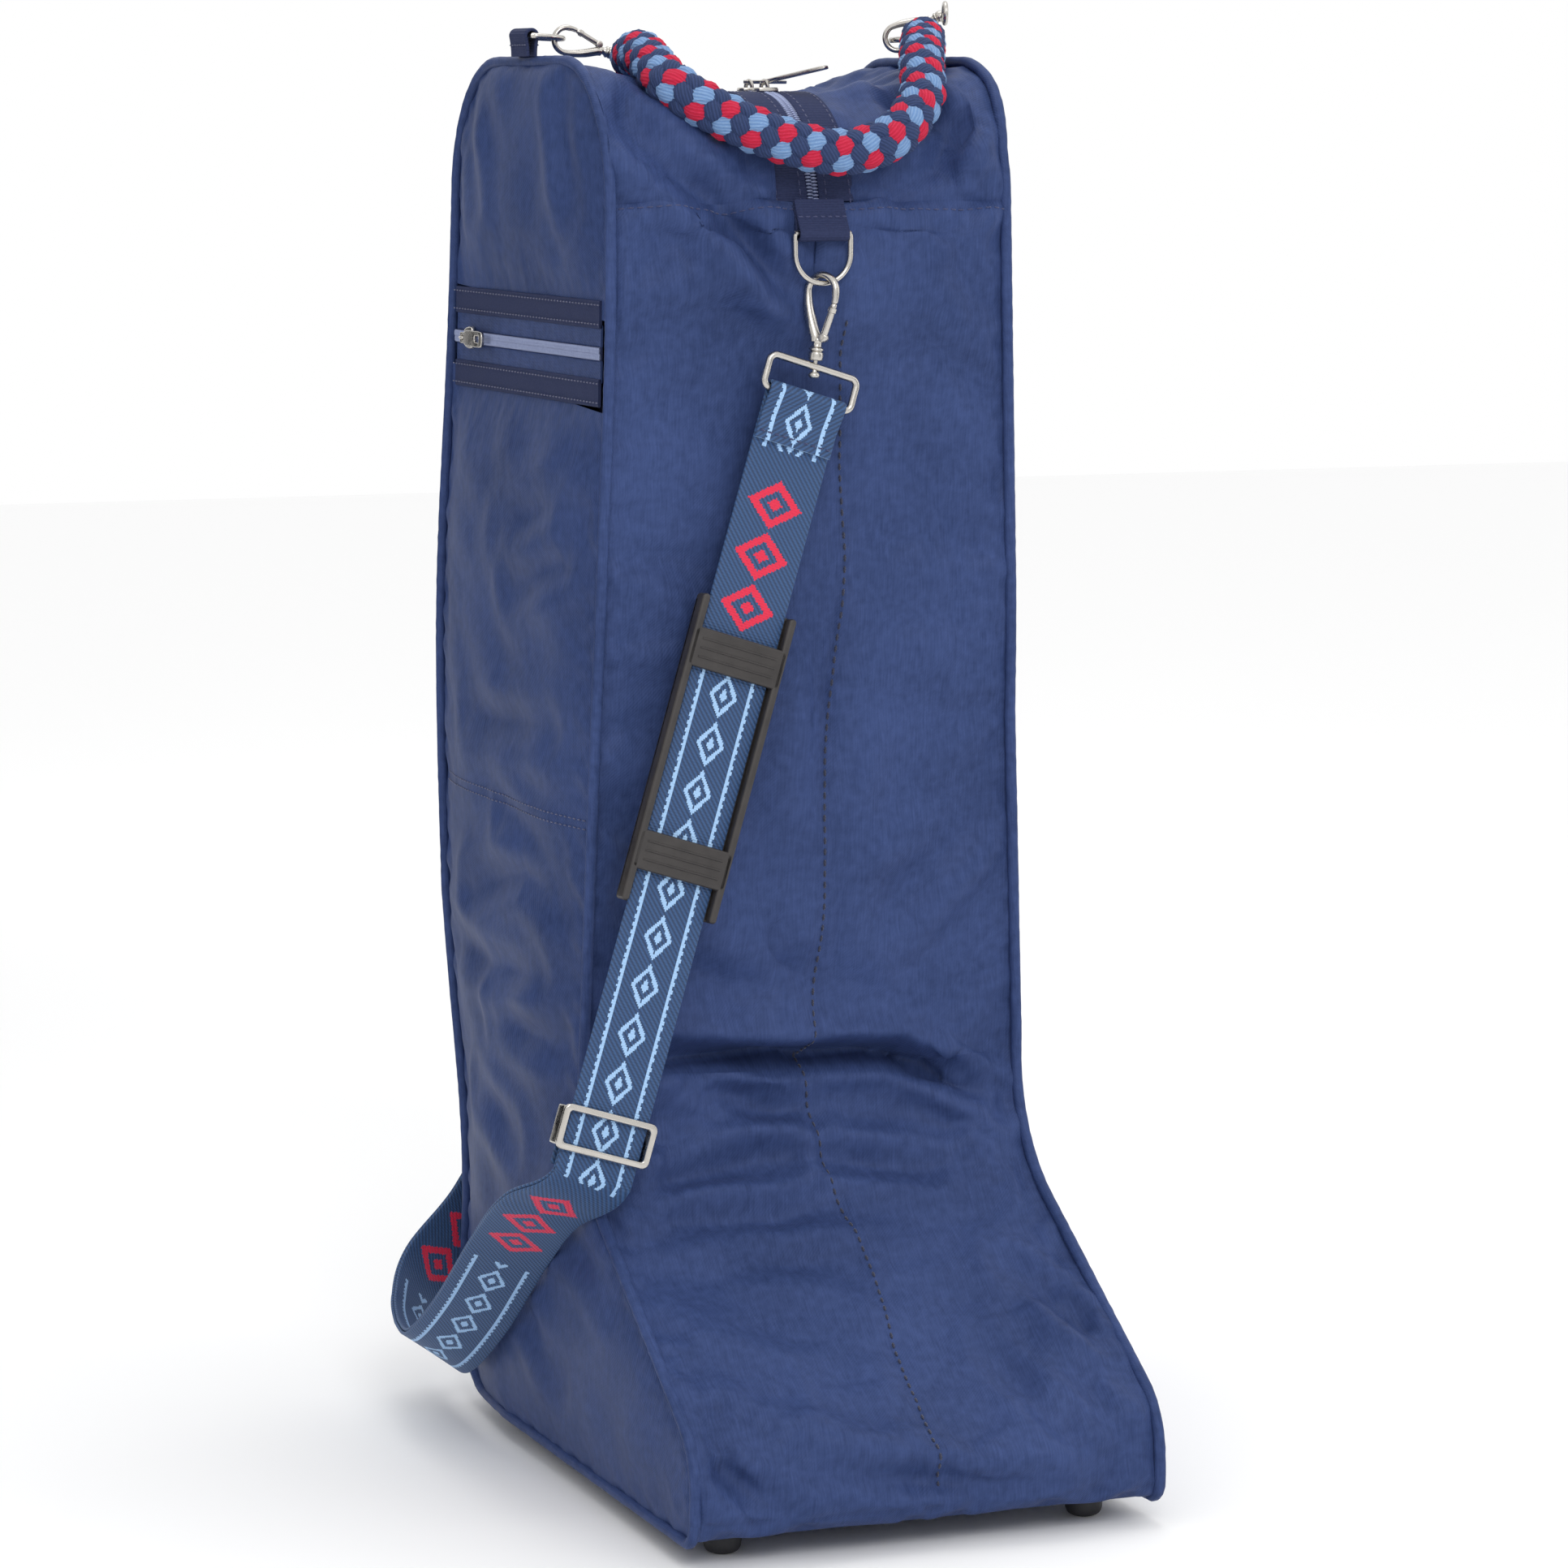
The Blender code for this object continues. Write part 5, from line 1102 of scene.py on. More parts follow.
def zip_slider(name, matrix, body):
    """Slider: a top plate narrowed to the front, a lower plate under the tape, and an arched bridge."""
    shield = [(0.0050, -0.0045), (0.0050, 0.0010), (0.0040, 0.0048), (0.0026, 0.0060), (-0.0026, 0.0060),
              (-0.0040, 0.0048), (-0.0050, 0.0010), (-0.0050, -0.0045), (-0.0036, -0.0060),
              (0.0036, -0.0060)]
    top = plate(f"{name}_plate", [smooth_line(shield, 3, closed=True).tolist()], 0.0022, 0.0007, matrix,
                nickel)
    lip = plate(f"{name}_lip", [round_rect(0.0104, 0.0085, 0.0012)], 0.0009, 0.0003,
                matrix @ Matrix.Translation((0, 0, -0.0009)), nickel)
    arch = np.array([(0, -0.0042, 0.0006), (0, -0.0038, 0.0024), (0, -0.0020, 0.0034), (0, 0.0010, 0.0036),
                     (0, 0.0034, 0.0026), (0, 0.0040, 0.0008)])
    arch = np.array([matrix @ Vector(p) for p in smooth_line(arch, 5)])
    bridge = tube(f"{name}_bridge", arch, 0.0010, nickel, sides=10, section=circle(12, 1.5, 0.8))
    made = joined(f"{name}_body", [top, lip, bridge])
    return finish_piece(made, body, "nickel", name)


def zip_tag(name, pivot, away, lift, body):
    """Flat tag with a long slot near its free end, hung on the bridge by a small eye."""
    side = Vector(lift).cross(Vector(away)).normalized()
    up = Vector(away).cross(side).normalized()
    long = PULLER_LENGTH + 0.0040
    matrix = frame_of(Vector(pivot) + Vector(away) * (long / 2 - 0.0010), side, away, up)
    waist = [(0.0022, -long / 2), (0.0026, -long * 0.40), (0.0030, -long * 0.30),
             (PULLER_WIDTH / 2, -long * 0.16),
             (PULLER_WIDTH / 2, long * 0.40), (0.0024, long / 2)]
    loop = waist + [(-x, y) for x, y in reversed(waist)]
    slot = round_rect(0.0030, 0.0072, 0.0012, (0, long * 0.28))
    eye = round_rect(0.0026, 0.0034, 0.0010, (0, -long * 0.40))
    tag = plate(f"{name}_tag", [smooth_line(loop, 4, closed=True).tolist(), slot, eye], 0.0017, 0.0005,
                matrix, nickel)
    return finish_piece(tag, body, "nickel", name)


for name, toward in (("front", 1), ("rear", -1)):
    low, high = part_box(f"slider_{name}")
    spot = Vector(((low.x + high.x) / 2, (low.y + high.y) / 2, low.z + 0.0011))
    zip_slider(f"slider_{name}", frame_of(spot, (1, 0, 0), (0, 1, 0), (0, 0, 1)), f"slider_{name}")
    away = Vector((math.cos(TOP_PULLER_YAW), -toward * math.sin(TOP_PULLER_YAW), 0))
    raised = Vector((away.x, away.y, 0.22 if name == "front" else 0.0)).normalized()
    zip_tag(f"puller_{name}", spot + Vector((0, 0, 0.0037)), raised, (0, 0, 1), f"puller_{name}")
low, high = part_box("pocket_slider")
pocket_spot = Vector(pocket_line[0]) + Vector(pocket_out) * 0.0021
pocket_spot.y = (low.y + high.y) / 2
zip_slider("pocket_slider", frame_of(pocket_spot, pocket_rise, (0, 1, 0), pocket_out), "pocket_slider")
zip_tag("pocket_puller", pocket_spot + Vector(pocket_out) * 0.0037, (0, -1, 0), pocket_out, "pocket_puller")


# ------------------------------------------------------------ Tabs and D-rings
# A D-ring hangs in a folded tab at each end of the top zip, and one stands in a tab at the
# head of each side panel and lies in over the top, for the carrying handle.

RING_WIRE = 0.0013
RING_RADIUS = 0.0133
TAB_WIDTH = 0.024
TAB_THICKNESS = 0.0014
END_BAR_OFFSET = 0.009
SIDE_BAR_OFFSET = 0.005


def d_ring(name, centre, across, down, bar_offset):
    corner = 0.0018
    bar = centre - down * bar_offset
    legs = [bar - across * (RING_RADIUS - corner),
            bar - across * (RING_RADIUS - 0.3 * corner) + down * 0.3 * corner,
            bar - across * RING_RADIUS + down * corner]
    turns = np.linspace(0, math.pi, 25)
    bow = [centre - across * RING_RADIUS * math.cos(t) + down * RING_RADIUS * math.sin(t) for t in turns]
    other = [bar + across * RING_RADIUS + down * corner,
             bar + across * (RING_RADIUS - 0.3 * corner) + down * 0.3 * corner,
             bar + across * (RING_RADIUS - corner)]
    points = smooth_line(np.array([tuple(p) for p in legs + bow + other]), 4, closed=True)
    ring = tube(f"{name}_wire", points, RING_WIRE, nickel, sides=16, closed=True)
    return finish_piece(ring, name, "nickel", name)


def folded_tab(name, bar, across, inward, length, pinch):
    """Grosgrain folded round a ring's bar, sewn through both layers below the fold."""
    out = Vector(across).cross(inward).normalized()
    radius = RING_WIRE + 0.0008 + TAB_THICKNESS / 2
    stations = []
    for share in np.linspace(1, 0, 8):
        spread = radius + (pinch - radius) * share * (2 - share)
        stations.append((bar + inward * length * share + out * spread, out))
    for turn in np.linspace(0, math.pi, 16)[1:-1]:
        face = out * math.cos(turn) - inward * math.sin(turn)
        stations.append((bar + face * radius, face))
    for share in np.linspace(0, 1, 8):
        spread = radius + (pinch - radius) * share * (2 - share)
        stations.append((bar + inward * length * share - out * spread, -out))
    places = np.array([tuple(p) for p, _ in stations])
    faces = np.array([tuple(f) for _, f in stations])
    tab = ribbon(f"{name}_fold", places, np.broadcast_to(tuple(across), places.shape), faces, TAB_WIDTH,
                 TAB_THICKNESS, grosgrain_dark, across=16)
    finish_piece(tab, "bag", "binding_tape", name)
    lines = []
    for share in (0.45,):
        for face in (1, -1):
            middle = bar + inward * length * share + out * face * (pinch + (radius - pinch) * 0.30
                    + TAB_THICKNESS / 2 + 0.0003)
            ends = [middle - across * TAB_WIDTH * 0.44, middle + across * TAB_WIDTH * 0.44]
            lines.append((np.array([tuple(p) for p in ends]), tuple(out * face)))
    repeated(f"{name}_stitches", lines, 0.0032, (0.0024, 0.0007, 0.0006), thread_navy)


UP = Vector((0, 0, 1))
ring_centres = {}
for end, out in (("front", -1), ("rear", 1)):
    low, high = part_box(f"ring_{end}")
    centre = Vector((0, (low.y + high.y) / 2, low.z + RING_WIRE + RING_RADIUS))
    ring_centres[end] = centre
    d_ring(f"ring_{end}", centre, Vector((1, 0, 0)), -UP, END_BAR_OFFSET)
    lean = Vector((0, -out * 0.42, 1)).normalized()
    folded_tab(f"tab_{end}", centre + UP * END_BAR_OFFSET, Vector((1, 0, 0)), lean, 0.016,
               TAB_THICKNESS / 2 + 0.0002)
for end, side in (("left", -1), ("right", 1)):
    low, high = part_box(f"tab_{end}")
    bar = Vector((side * (TOP_WIDTH / 2 + 0.003), (low.y + high.y) / 2, BAG_HEIGHT + 0.0033 + 0.0085))
    inward = Vector((-side * math.cos(math.radians(4)), 0, -math.sin(math.radians(4))))
    ring_centres[end] = bar + inward * SIDE_BAR_OFFSET
    d_ring(f"ring_{end}", ring_centres[end], Vector((0, 1, 0)), inward, SIDE_BAR_OFFSET)
    folded_tab(f"tab_{end}", bar, Vector((0, 1, 0)), -UP, 0.0095, 0.0018)


# ------------------------------------------------------------ Sole and inside
# Four moulded rubber feet are riveted through the sole and the stiff board that lies on it.
# Inside, a sewn wall keeps the two boots apart and a lined pouch hangs behind the pocket zip.

DIVIDER_INSET = 0.032
DIVIDER_TOP = 0.560


def moulded_rubber(name):
    """Black rubber: a dull mould skin with a fine pebble and scuffed patches."""
    made, tree, shader = new_material(name, roughness=0.6)
    spot = add(tree, "ShaderNodeTexCoord").outputs["Object"]
    scuff = add(tree, "ShaderNodeTexNoise", {"Vector": spot, "Scale": 220.0, "Detail": 5.0})
    tone = add(tree, "ShaderNodeMixRGB", {"Fac": scuff.outputs["Fac"], "Color1": srgb("17171a"),
                                          "Color2": srgb("37373a")})
    tree.links.new(tone.outputs["Color"], shader.inputs["Base Color"])
    pebble = add(tree, "ShaderNodeTexNoise", {"Vector": spot, "Scale": 1500.0, "Detail": 1.0})
    bump = add(tree, "ShaderNodeBump", {"Height": pebble.outputs["Fac"], "Strength": 0.35,
                                        "Distance": 0.0002})
    tree.links.new(bump.outputs["Normal"], shader.inputs["Normal"])
    return made


def woven_lining(name, low_tone, high_tone, roughness, scale):
    """Plain-weave lining or fibre board: a fine two-way weave over a mottled tone."""
    made, tree, shader = new_material(name, roughness=roughness)
    spot = add(tree, "ShaderNodeTexCoord").outputs["Object"]
    weave = add(tree, "ShaderNodeTexChecker", {"Vector": spot, "Scale": scale})
    mottle = add(tree, "ShaderNodeTexNoise", {"Vector": spot, "Scale": 90.0, "Detail": 4.0})
    tone = add(tree, "ShaderNodeMixRGB", {"Fac": mottle.outputs["Fac"], "Color1": srgb(low_tone),
                                          "Color2": srgb(high_tone)})
    tree.links.new(tone.outputs["Color"], shader.inputs["Base Color"])
    bump = add(tree, "ShaderNodeBump", {"Height": weave.outputs["Fac"], "Strength": 0.2,
                                        "Distance": 0.0002})
    tree.links.new(bump.outputs["Normal"], shader.inputs["Normal"])
    return made


rubber = moulded_rubber("moulded_rubber")
foot_profile = smooth_line(np.array([
    (0.0004, 0.0000), (0.0040, 0.0000), (0.0056, 0.0004), (0.0072, 0.0014), (0.0082, 0.0032),
    (0.0085, 0.0056),
    (0.0083, 0.0082), (0.0078, 0.0090), (0.0086, 0.0096), (0.0086, 0.0109), (0.0030, 0.0112),
    (0.0026, 0.0160),
    (0.0004, 0.0166)]), 4)
turns = np.arange(36) * 2 * math.pi / 36
for corner in ("front_left", "front_right", "rear_left", "rear_right"):
    low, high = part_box(f"foot_{corner}")
    middle = np.array(((low.x + high.x) / 2, (low.y + high.y) / 2, 0))
    rings = np.stack([foot_profile[:, :1] * np.cos(turns), foot_profile[:, :1] * np.sin(turns),
                      np.repeat(foot_profile[:, 1:], 36, axis=1)], axis=-1) + middle
    foot = swept(f"foot_cap_{corner}", rings, rubber)
    finish_piece(foot, "bag", "rubber_feet", f"foot_{corner}")

lining = woven_lining("plain_weave_lining", "1f2440", "2f365b", 0.8, 900.0)
wall, wall_flat = side_grid(0)
share = np.linspace(0, 1, wall.shape[1])[None, :]
wall[..., 1] += DIVIDER_INSET * (1 - 2 * share)
wall[..., 2] = np.maximum(wall[..., 2], BASE_Z + 0.0085)
wall[..., 0] += 0.0015 * wandering(wall_flat, 61, 0.08)
wall_rows = wall[:, wall.shape[1] // 2, 2] < DIVIDER_TOP
divider = grid_object("divider_cloth", wall[wall_rows], wall_flat[wall_rows], lining)
rim = in_world(wall[wall_rows][-1])
binding = ribbon("divider_binding", rim, np.broadcast_to((0, 0, 1), rim.shape),
                 np.broadcast_to((1, 0, 0), rim.shape),
                 0.008, 0.0022, grosgrain_dark)
finish_piece(joined("divider_wall", [divider, binding]), "bag", "lining", "centre_divider")

low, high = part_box("pocket_bag")
pouch_share = np.stack(np.meshgrid(np.linspace(0, 1, 30), np.linspace(0, 1, 30)), axis=-1)
pouch_depth = BACK_Y - (low.y + (high.y - low.y) * pouch_share[..., 0])
pouch_z = low.z + (high.z - low.z) * pouch_share[..., 1]
slack = np.sin(math.pi * pouch_share[..., 0]) * np.sin(math.pi * pouch_share[..., 1] * 0.5 + 0.3)
pouch_x = -half_width(pouch_z) + 0.005 + 0.011 * slack + 0.0012 * wandering(pouch_share * 0.2, 62, 0.05)
pouch = grid_object("pouch_cloth", np.stack([pouch_x, pouch_depth, pouch_z], axis=-1), pouch_share * 0.2,
                    lining)
finish_piece(pouch, "bag", "lining", "pocket_bag")

low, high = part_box("base_board")
board = plate("stiffener", [round_rect(high.x - low.x, high.y - low.y, 0.012)], high.z - low.z, 0.0008,
              Matrix.Translation((low + high) / 2),
              woven_lining("fibre_board", "1a1a1c", "2d2b2a", 0.7, 400.0))
finish_piece(board, "bag", "stiffener_board", "base_board")


# ------------------------------------------------------------ Snap hooks and carrying handle
# Twelve cotton strands, six each way, are braided into a soft round handle. Steel eyes at its
# ends hang on two small snap hooks, which clip to the rings at the heads of the side panels.

HOOK_THROAT = 0.0074
HOOK_WIRE = 0.0016
HOOK_LENGTH = 0.031
HOOK_PLAY = 0.0009
SWIVEL_RADIUS = 0.0034
SWIVEL_GAP = 0.0012
GATE_WIRE = 0.00125
HANDLE_SCALE = 0.78
EYE_RADIUS = 0.0046
EYE_WIRE = 0.0012
BRAID_RING = 0.0066
STRANDS_EACH_WAY = 6
STRAND_WIDE = 0.0043
STRAND_THICK = 0.0027
HANDLE_KNOTS = (
    (-0.0545, 0.1210, 0.6510), (-0.0600, 0.1550, 0.6530), (-0.0618, 0.1995, 0.6391),
    (-0.0411, 0.2160, 0.6244), (-0.0158, 0.2246, 0.6138), (0.0104, 0.2270, 0.6093),
    (0.0348, 0.2240, 0.6163), (0.0552, 0.2078, 0.6324), (0.0680, 0.1780, 0.6500),
    (0.0880, 0.1320, 0.6630),
)


def hook_matrix(contact, toward_swivel, spine_side, scale):
    z_axis = -Vector(toward_swivel).normalized()
    x_axis = (Vector(spine_side) - z_axis * Vector(spine_side).dot(z_axis)).normalized()
    reach = (HOOK_THROAT - HOOK_WIRE) * scale - RING_WIRE - HOOK_PLAY
    return frame_of(Vector(contact) - z_axis * reach, x_axis, z_axis.cross(x_axis), z_axis)


def turned(name, profile, matrix, look, sides=20):
    """A turned piece round the z axis of matrix from (radius, height) pairs."""
    profile = np.asarray(profile)
    turns = np.arange(sides) * 2 * math.pi / sides
    rings = np.stack([profile[:, :1] * np.cos(turns), profile[:, :1] * np.sin(turns),
                      np.repeat(profile[:, 1:], sides, axis=1)], axis=-1)
    spun = rings @ np.array(matrix.to_3x3()).T + np.array(matrix.translation)
    return swept(name, spun, look)


def snap_hook(name, matrix, scale, body, ball):
    """Cast hook: flattened spine and bow, a turned swivel barrel and the pin its gate hangs on."""
    knots = [(0.0010, -0.0226, 1.6), (0.0014, -0.0200, 1.75), (0.0042, -0.0135, 1.7),
             (0.0066, -0.0060, 1.4)]
    knots += [(HOOK_THROAT * math.cos(t), HOOK_THROAT * math.sin(t), 1.15) for t in np.linspace(0, math.pi,
            11)]
    knots += [(-HOOK_THROAT - 0.0001, -0.0026, 1.0), (-HOOK_THROAT + 0.0001, -0.0044, 0.95),
              (-HOOK_THROAT + 0.0002, -0.0050, 0.55)]
    run = smooth_line(np.array(knots), 5)
    points = [tuple(matrix @ Vector((x * scale, 0, z * scale))) for x, z, _ in run]
    ups = np.broadcast_to(tuple(matrix.to_3x3() @ Vector((0, 1, 0))), (len(points), 3))
    rod = tube(f"{name}_rod", points, HOOK_WIRE * scale * run[:, 2], nickel, section=circle(16, 0.92, 1.08),
               ups=ups)
    barrel_profile = np.array([(0.0004, -0.0312), (0.0024, -0.0311), (0.0033, -0.0304), (0.0034, -0.0276),
                               (0.0027, -0.0270),
                               (0.0034, -0.0264), (0.0033, -0.0256), (0.0024, -0.0248), (0.0021, -0.0232),
                               (0.0024, -0.0222),
                               (0.0020, -0.0208), (0.0004, -0.0204)]) * scale
    barrel = turned(f"{name}_barrel", smooth_line(barrel_profile, 3), matrix, nickel)
    pin_turn = matrix @ Matrix.Translation(Vector((-0.0030, 0,
                                                   -0.0205)) * scale) @ Matrix.Rotation(math.pi / 2, 4, "X")
    pin = turned(f"{name}_pin", np.array([(0.0003, -0.0023), (0.0011, -0.0022), (0.0012, -0.0018),
                                          (0.0012, 0.0018),
                                          (0.0011, 0.0022), (0.0003, 0.0023)]) * scale, pin_turn, nickel,
                                          14)
    heel = turned(f"{name}_heel", smooth_line(np.array([(0.0003, -0.0018), (0.0020, -0.0017), (0.0023, 0.0),
                                                        (0.0020, 0.0017),
                                                        (0.0003, 0.0018)]) * scale, 3), pin_turn, nickel,
                                                        14)
    pieces = [rod, barrel, pin, heel]
    if ball:
        stem = [(0.0003, -0.0392), (0.0020, -0.0389), (0.0027, -0.0377), (0.0020, -0.0364),
                (0.0011, -0.0358), (0.0011, -0.0305)]
        pieces.append(turned(f"{name}_ball", smooth_line(np.array(stem), 3), matrix, nickel))
    return finish_piece(joined(f"{name}_cast", pieces), body, "nickel", name)


def snap_gate(name, matrix, scale):
    """Spring gate: a rod with a collar near its nose."""
    heel, nose = Vector((-0.0030, 0, -0.0205)) * scale, Vector((-0.0073, 0, -0.0047)) * scale
    shares = np.array([0, 0.06, 0.5, 0.72, 0.74, 0.86, 0.88, 0.97, 1.0])
    sizes = np.array([1.1, 1.3, 1.3, 1.25, 1.6, 1.6, 1.2, 1.1, 0.6]) * GATE_WIRE * scale
    points = [tuple(matrix @ heel.lerp(nose, share)) for share in shares]
    return finish_piece(tube(f"{name}_rod", points, sizes, nickel), name, "nickel", name)


def cotton_strand(name, colour, fuzz_colour):
    """Soft-laid cotton: yarns twist along the strand, with a pale fuzz of loose fibre on top."""
    made, tree, shader = new_material(name, roughness=0.85)
    shader.inputs["Sheen Weight"].default_value = 0.22
    shader.inputs["Sheen Roughness"].default_value = 0.6
    shader.inputs["Sheen Tint"].default_value = srgb(fuzz_colour)
    cloth = add(tree, "ShaderNodeUVMap", uv_map="cloth").outputs["UV"]
    slant = add(tree, "ShaderNodeMapping", {"Vector": cloth, "Rotation": (0, 0, 0.32)})
    yarn = add(tree, "ShaderNodeTexWave",
               {"Vector": slant.outputs["Vector"], "Scale": 0.314 / 0.0012, "Distortion": 1.2,
                                           "Detail": 2.0, "Detail Scale": 300.0}, bands_direction="X")
    fibre = add(tree, "ShaderNodeTexNoise", {"Vector": cloth, "Scale": 1300.0, "Detail": 3.0})
    both = add(tree, "ShaderNodeMath", {0: yarn.outputs["Fac"], 1: fibre.outputs["Fac"]},
               operation="MULTIPLY")
    tone = add(tree, "ShaderNodeMixRGB", {"Fac": both.outputs[0], "Color2": srgb(fuzz_colour)})
    tone.inputs["Color1"].default_value = srgb(colour)
    tree.links.new(tone.outputs["Color"], shader.inputs["Base Color"])
    ridge = add(tree, "ShaderNodeBump", {"Height": yarn.outputs["Fac"], "Strength": 0.8,
                                         "Distance": 0.0006})
    hair = add(tree, "ShaderNodeBump", {"Height": fibre.outputs["Fac"], "Strength": 0.5, "Distance": 0.0004,
                                        "Normal": ridge.outputs["Normal"]})
    tree.links.new(hair.outputs["Normal"], shader.inputs["Normal"])
    return made


cotton_navy = cotton_strand("cotton_navy", "22345c", "3f5489")
cotton_sky = cotton_strand("cotton_light_blue", "6d95cb", "a3c3ea")
cotton_red = cotton_strand("cotton_crimson", "cc0c37", "ea3560")

hook_axes = {"left": ((0.965, 0.0, -0.262), (0, 0, -1), (0.45, -0.89, 0.0)),
             "right": ((0.82, -0.35, 0.45), (0, 0, 1), (-0.30, -0.95, 0.05))}
for end, (axis, spine, eye_axis) in hook_axes.items():
    side = -1 if end == "left" else 1
    inward = Vector((-side * math.cos(math.radians(4)), 0, -math.sin(math.radians(4))))
    matrix = hook_matrix(ring_centres[end] + inward * RING_RADIUS, axis, spine, HANDLE_SCALE)
    snap_hook(f"handle_hook_{end}", matrix, HANDLE_SCALE, "bag", False)
    snap_gate(f"handle_gate_{end}", matrix, HANDLE_SCALE)
    along = Vector(eye_axis).normalized()
    swivel = matrix @ Vector((0, 0, -HOOK_LENGTH * HANDLE_SCALE))
    centre = swivel + along * (EYE_RADIUS + EYE_WIRE + SWIVEL_RADIUS * HANDLE_SCALE + SWIVEL_GAP / 2)
    turns = np.linspace(0, 2 * math.pi, 40, endpoint=False)
    loop = [tuple(centre + (along * math.cos(t) + UP * math.sin(t)) * EYE_RADIUS) for t in turns]
    eye = tube(f"handle_eye_{end}", loop, EYE_WIRE, nickel, closed=True)
    finish_piece(eye, "handle", "nickel", f"handle_loop_{end}")

braid_line = evenly(smooth_line([(x, BACK_Y - depth, z) for x, depth, z in HANDLE_KNOTS], 16), 0.0012)
braid_at = measured(braid_line)
braid_tangents, braid_ups = carried(braid_line)
braid_sides = np.cross(braid_tangents, braid_ups)
ring_step = 0.0066
turn_rate = math.pi / STRANDS_EACH_WAY / ring_step
to_end = np.minimum(braid_at, braid_at[-1] - braid_at)
taper = 0.62 + 0.38 * np.clip(to_end / 0.010, 0, 1) ** 0.6
lobes = np.arange(26) * 2 * math.pi / 26
scallop = 1 + 0.07 * np.cos(lobes * 9)
strand_section = np.stack([STRAND_THICK * np.cos(lobes) * scallop, STRAND_WIDE * np.sin(lobes) * scallop],
                          axis=-1)
strands = []
for way in (1, -1):
    for k in range(STRANDS_EACH_WAY):
        turn = way * turn_rate * braid_at + 2 * math.pi * k / STRANDS_EACH_WAY
        radial = braid_ups * np.cos(turn)[:, None] + braid_sides * np.sin(turn)[:, None]
        weave = way * 0.0016 * np.cos(2 * STRANDS_EACH_WAY * turn_rate * braid_at / 2)
        reach = (BRAID_RING + weave) * taper
        line = braid_line + radial * reach[:, None]
        look = cotton_navy if way > 0 else (cotton_red if k % 2 else cotton_sky)
        strands.append(tube(f"strand_{way}_{k}", line, 0.5 + 0.5 * taper, look, section=strand_section,
                            ups=radial))
core = tube("braid_core", braid_line, BRAID_RING * 0.92 * taper, cotton_navy)
for sign in (0, 1):
    near = braid_line[3:8] if sign == 0 else braid_line[-8:-3]
    middle, direction = near.mean(axis=0), unit(near[-1] - near[0])
    up = unit(np.cross(direction, (0.3, 0.2, 1)))
    side = np.cross(direction, up)
    turns = np.linspace(0, 5 * 2 * math.pi, 150)
    wraps = (middle + direction * ((turns / turns[-1] - 0.5) * 0.0075)[:, None]
             + 0.0083 * (up * np.cos(turns)[:, None] + side * np.sin(turns)[:, None]))
    strands.append(tube(f"whipping_{sign}", wraps, 0.00085, cotton_navy, sides=8))
braid = joined("handle_braid_strands", [core] + strands)
finish_piece(braid, "handle", "cotton_braid", "handle_braid")


# ------------------------------------------------------------ Shoulder strap
# Patterned webbing hangs on snap hooks at the front and rear rings. It runs down through a
# moulded shoulder pad and a metal adjuster, round the bag's left side and up its back.

STRAP_WIDTH = 0.038
STRAP_THICKNESS = 0.0016
STRAP_LAP = 0.023
TOUCH_GAP = 0.0004
LOOP_WIRE = 0.0017
LOOP_HEIGHT = 0.0150
LOOP_CLEARANCE = 0.0012
SLOT_CLEARANCE = 0.0009
WRAP_RADIUS = LOOP_WIRE + TOUCH_GAP + STRAP_THICKNESS / 2
LAYER_STEP = STRAP_THICKNESS + TOUCH_GAP
PAD_LENGTH = 0.142
PAD_WIDTH = 0.047
PAD_BAR = 0.018
PAD_BAR_INSET = 0.015
PAD_ALONG = 0.168
ADJUSTER_LENGTH = 0.021
ADJUSTER_WIDTH = 0.046
ADJUSTER_ALONG = 0.343
ADJUSTER_BAR = 0.0024
ADJUSTER_TAIL = 0.018
BEND_LEAD = 0.010
REAR_LEAD = 0.030
OPEN_LENGTH = 0.035
FRONT_TILT = 17
STRAP_AIM = Vector((-0.1133, BACK_Y - 0.2500, 0.1731))
STRAP_KNOTS = (
    (-0.1340, 0.2180, 0.1335, 27), (-0.1350, 0.1780, 0.1080, 30), (-0.1375, 0.1280, 0.0680, 33),
    (-0.1400, 0.0870, 0.0420, 34), (-0.1365, 0.0520, 0.0370, 38), (-0.1310, 0.0200, 0.0420, 50),
    (-0.1150, -0.0080, 0.0580, 52), (-0.0830, -0.0195, 0.0880, 50), (-0.0540, -0.0205, 0.1400, 32),
    (-0.0340, -0.0210, 0.2200, 15), (-0.0200, -0.0200, 0.3200, 6), (-0.0080, -0.0175, 0.4300, 2),
)


RED_START = 0.070
RED_LENGTH = 0.072
PATTERN_REPEAT = 0.341


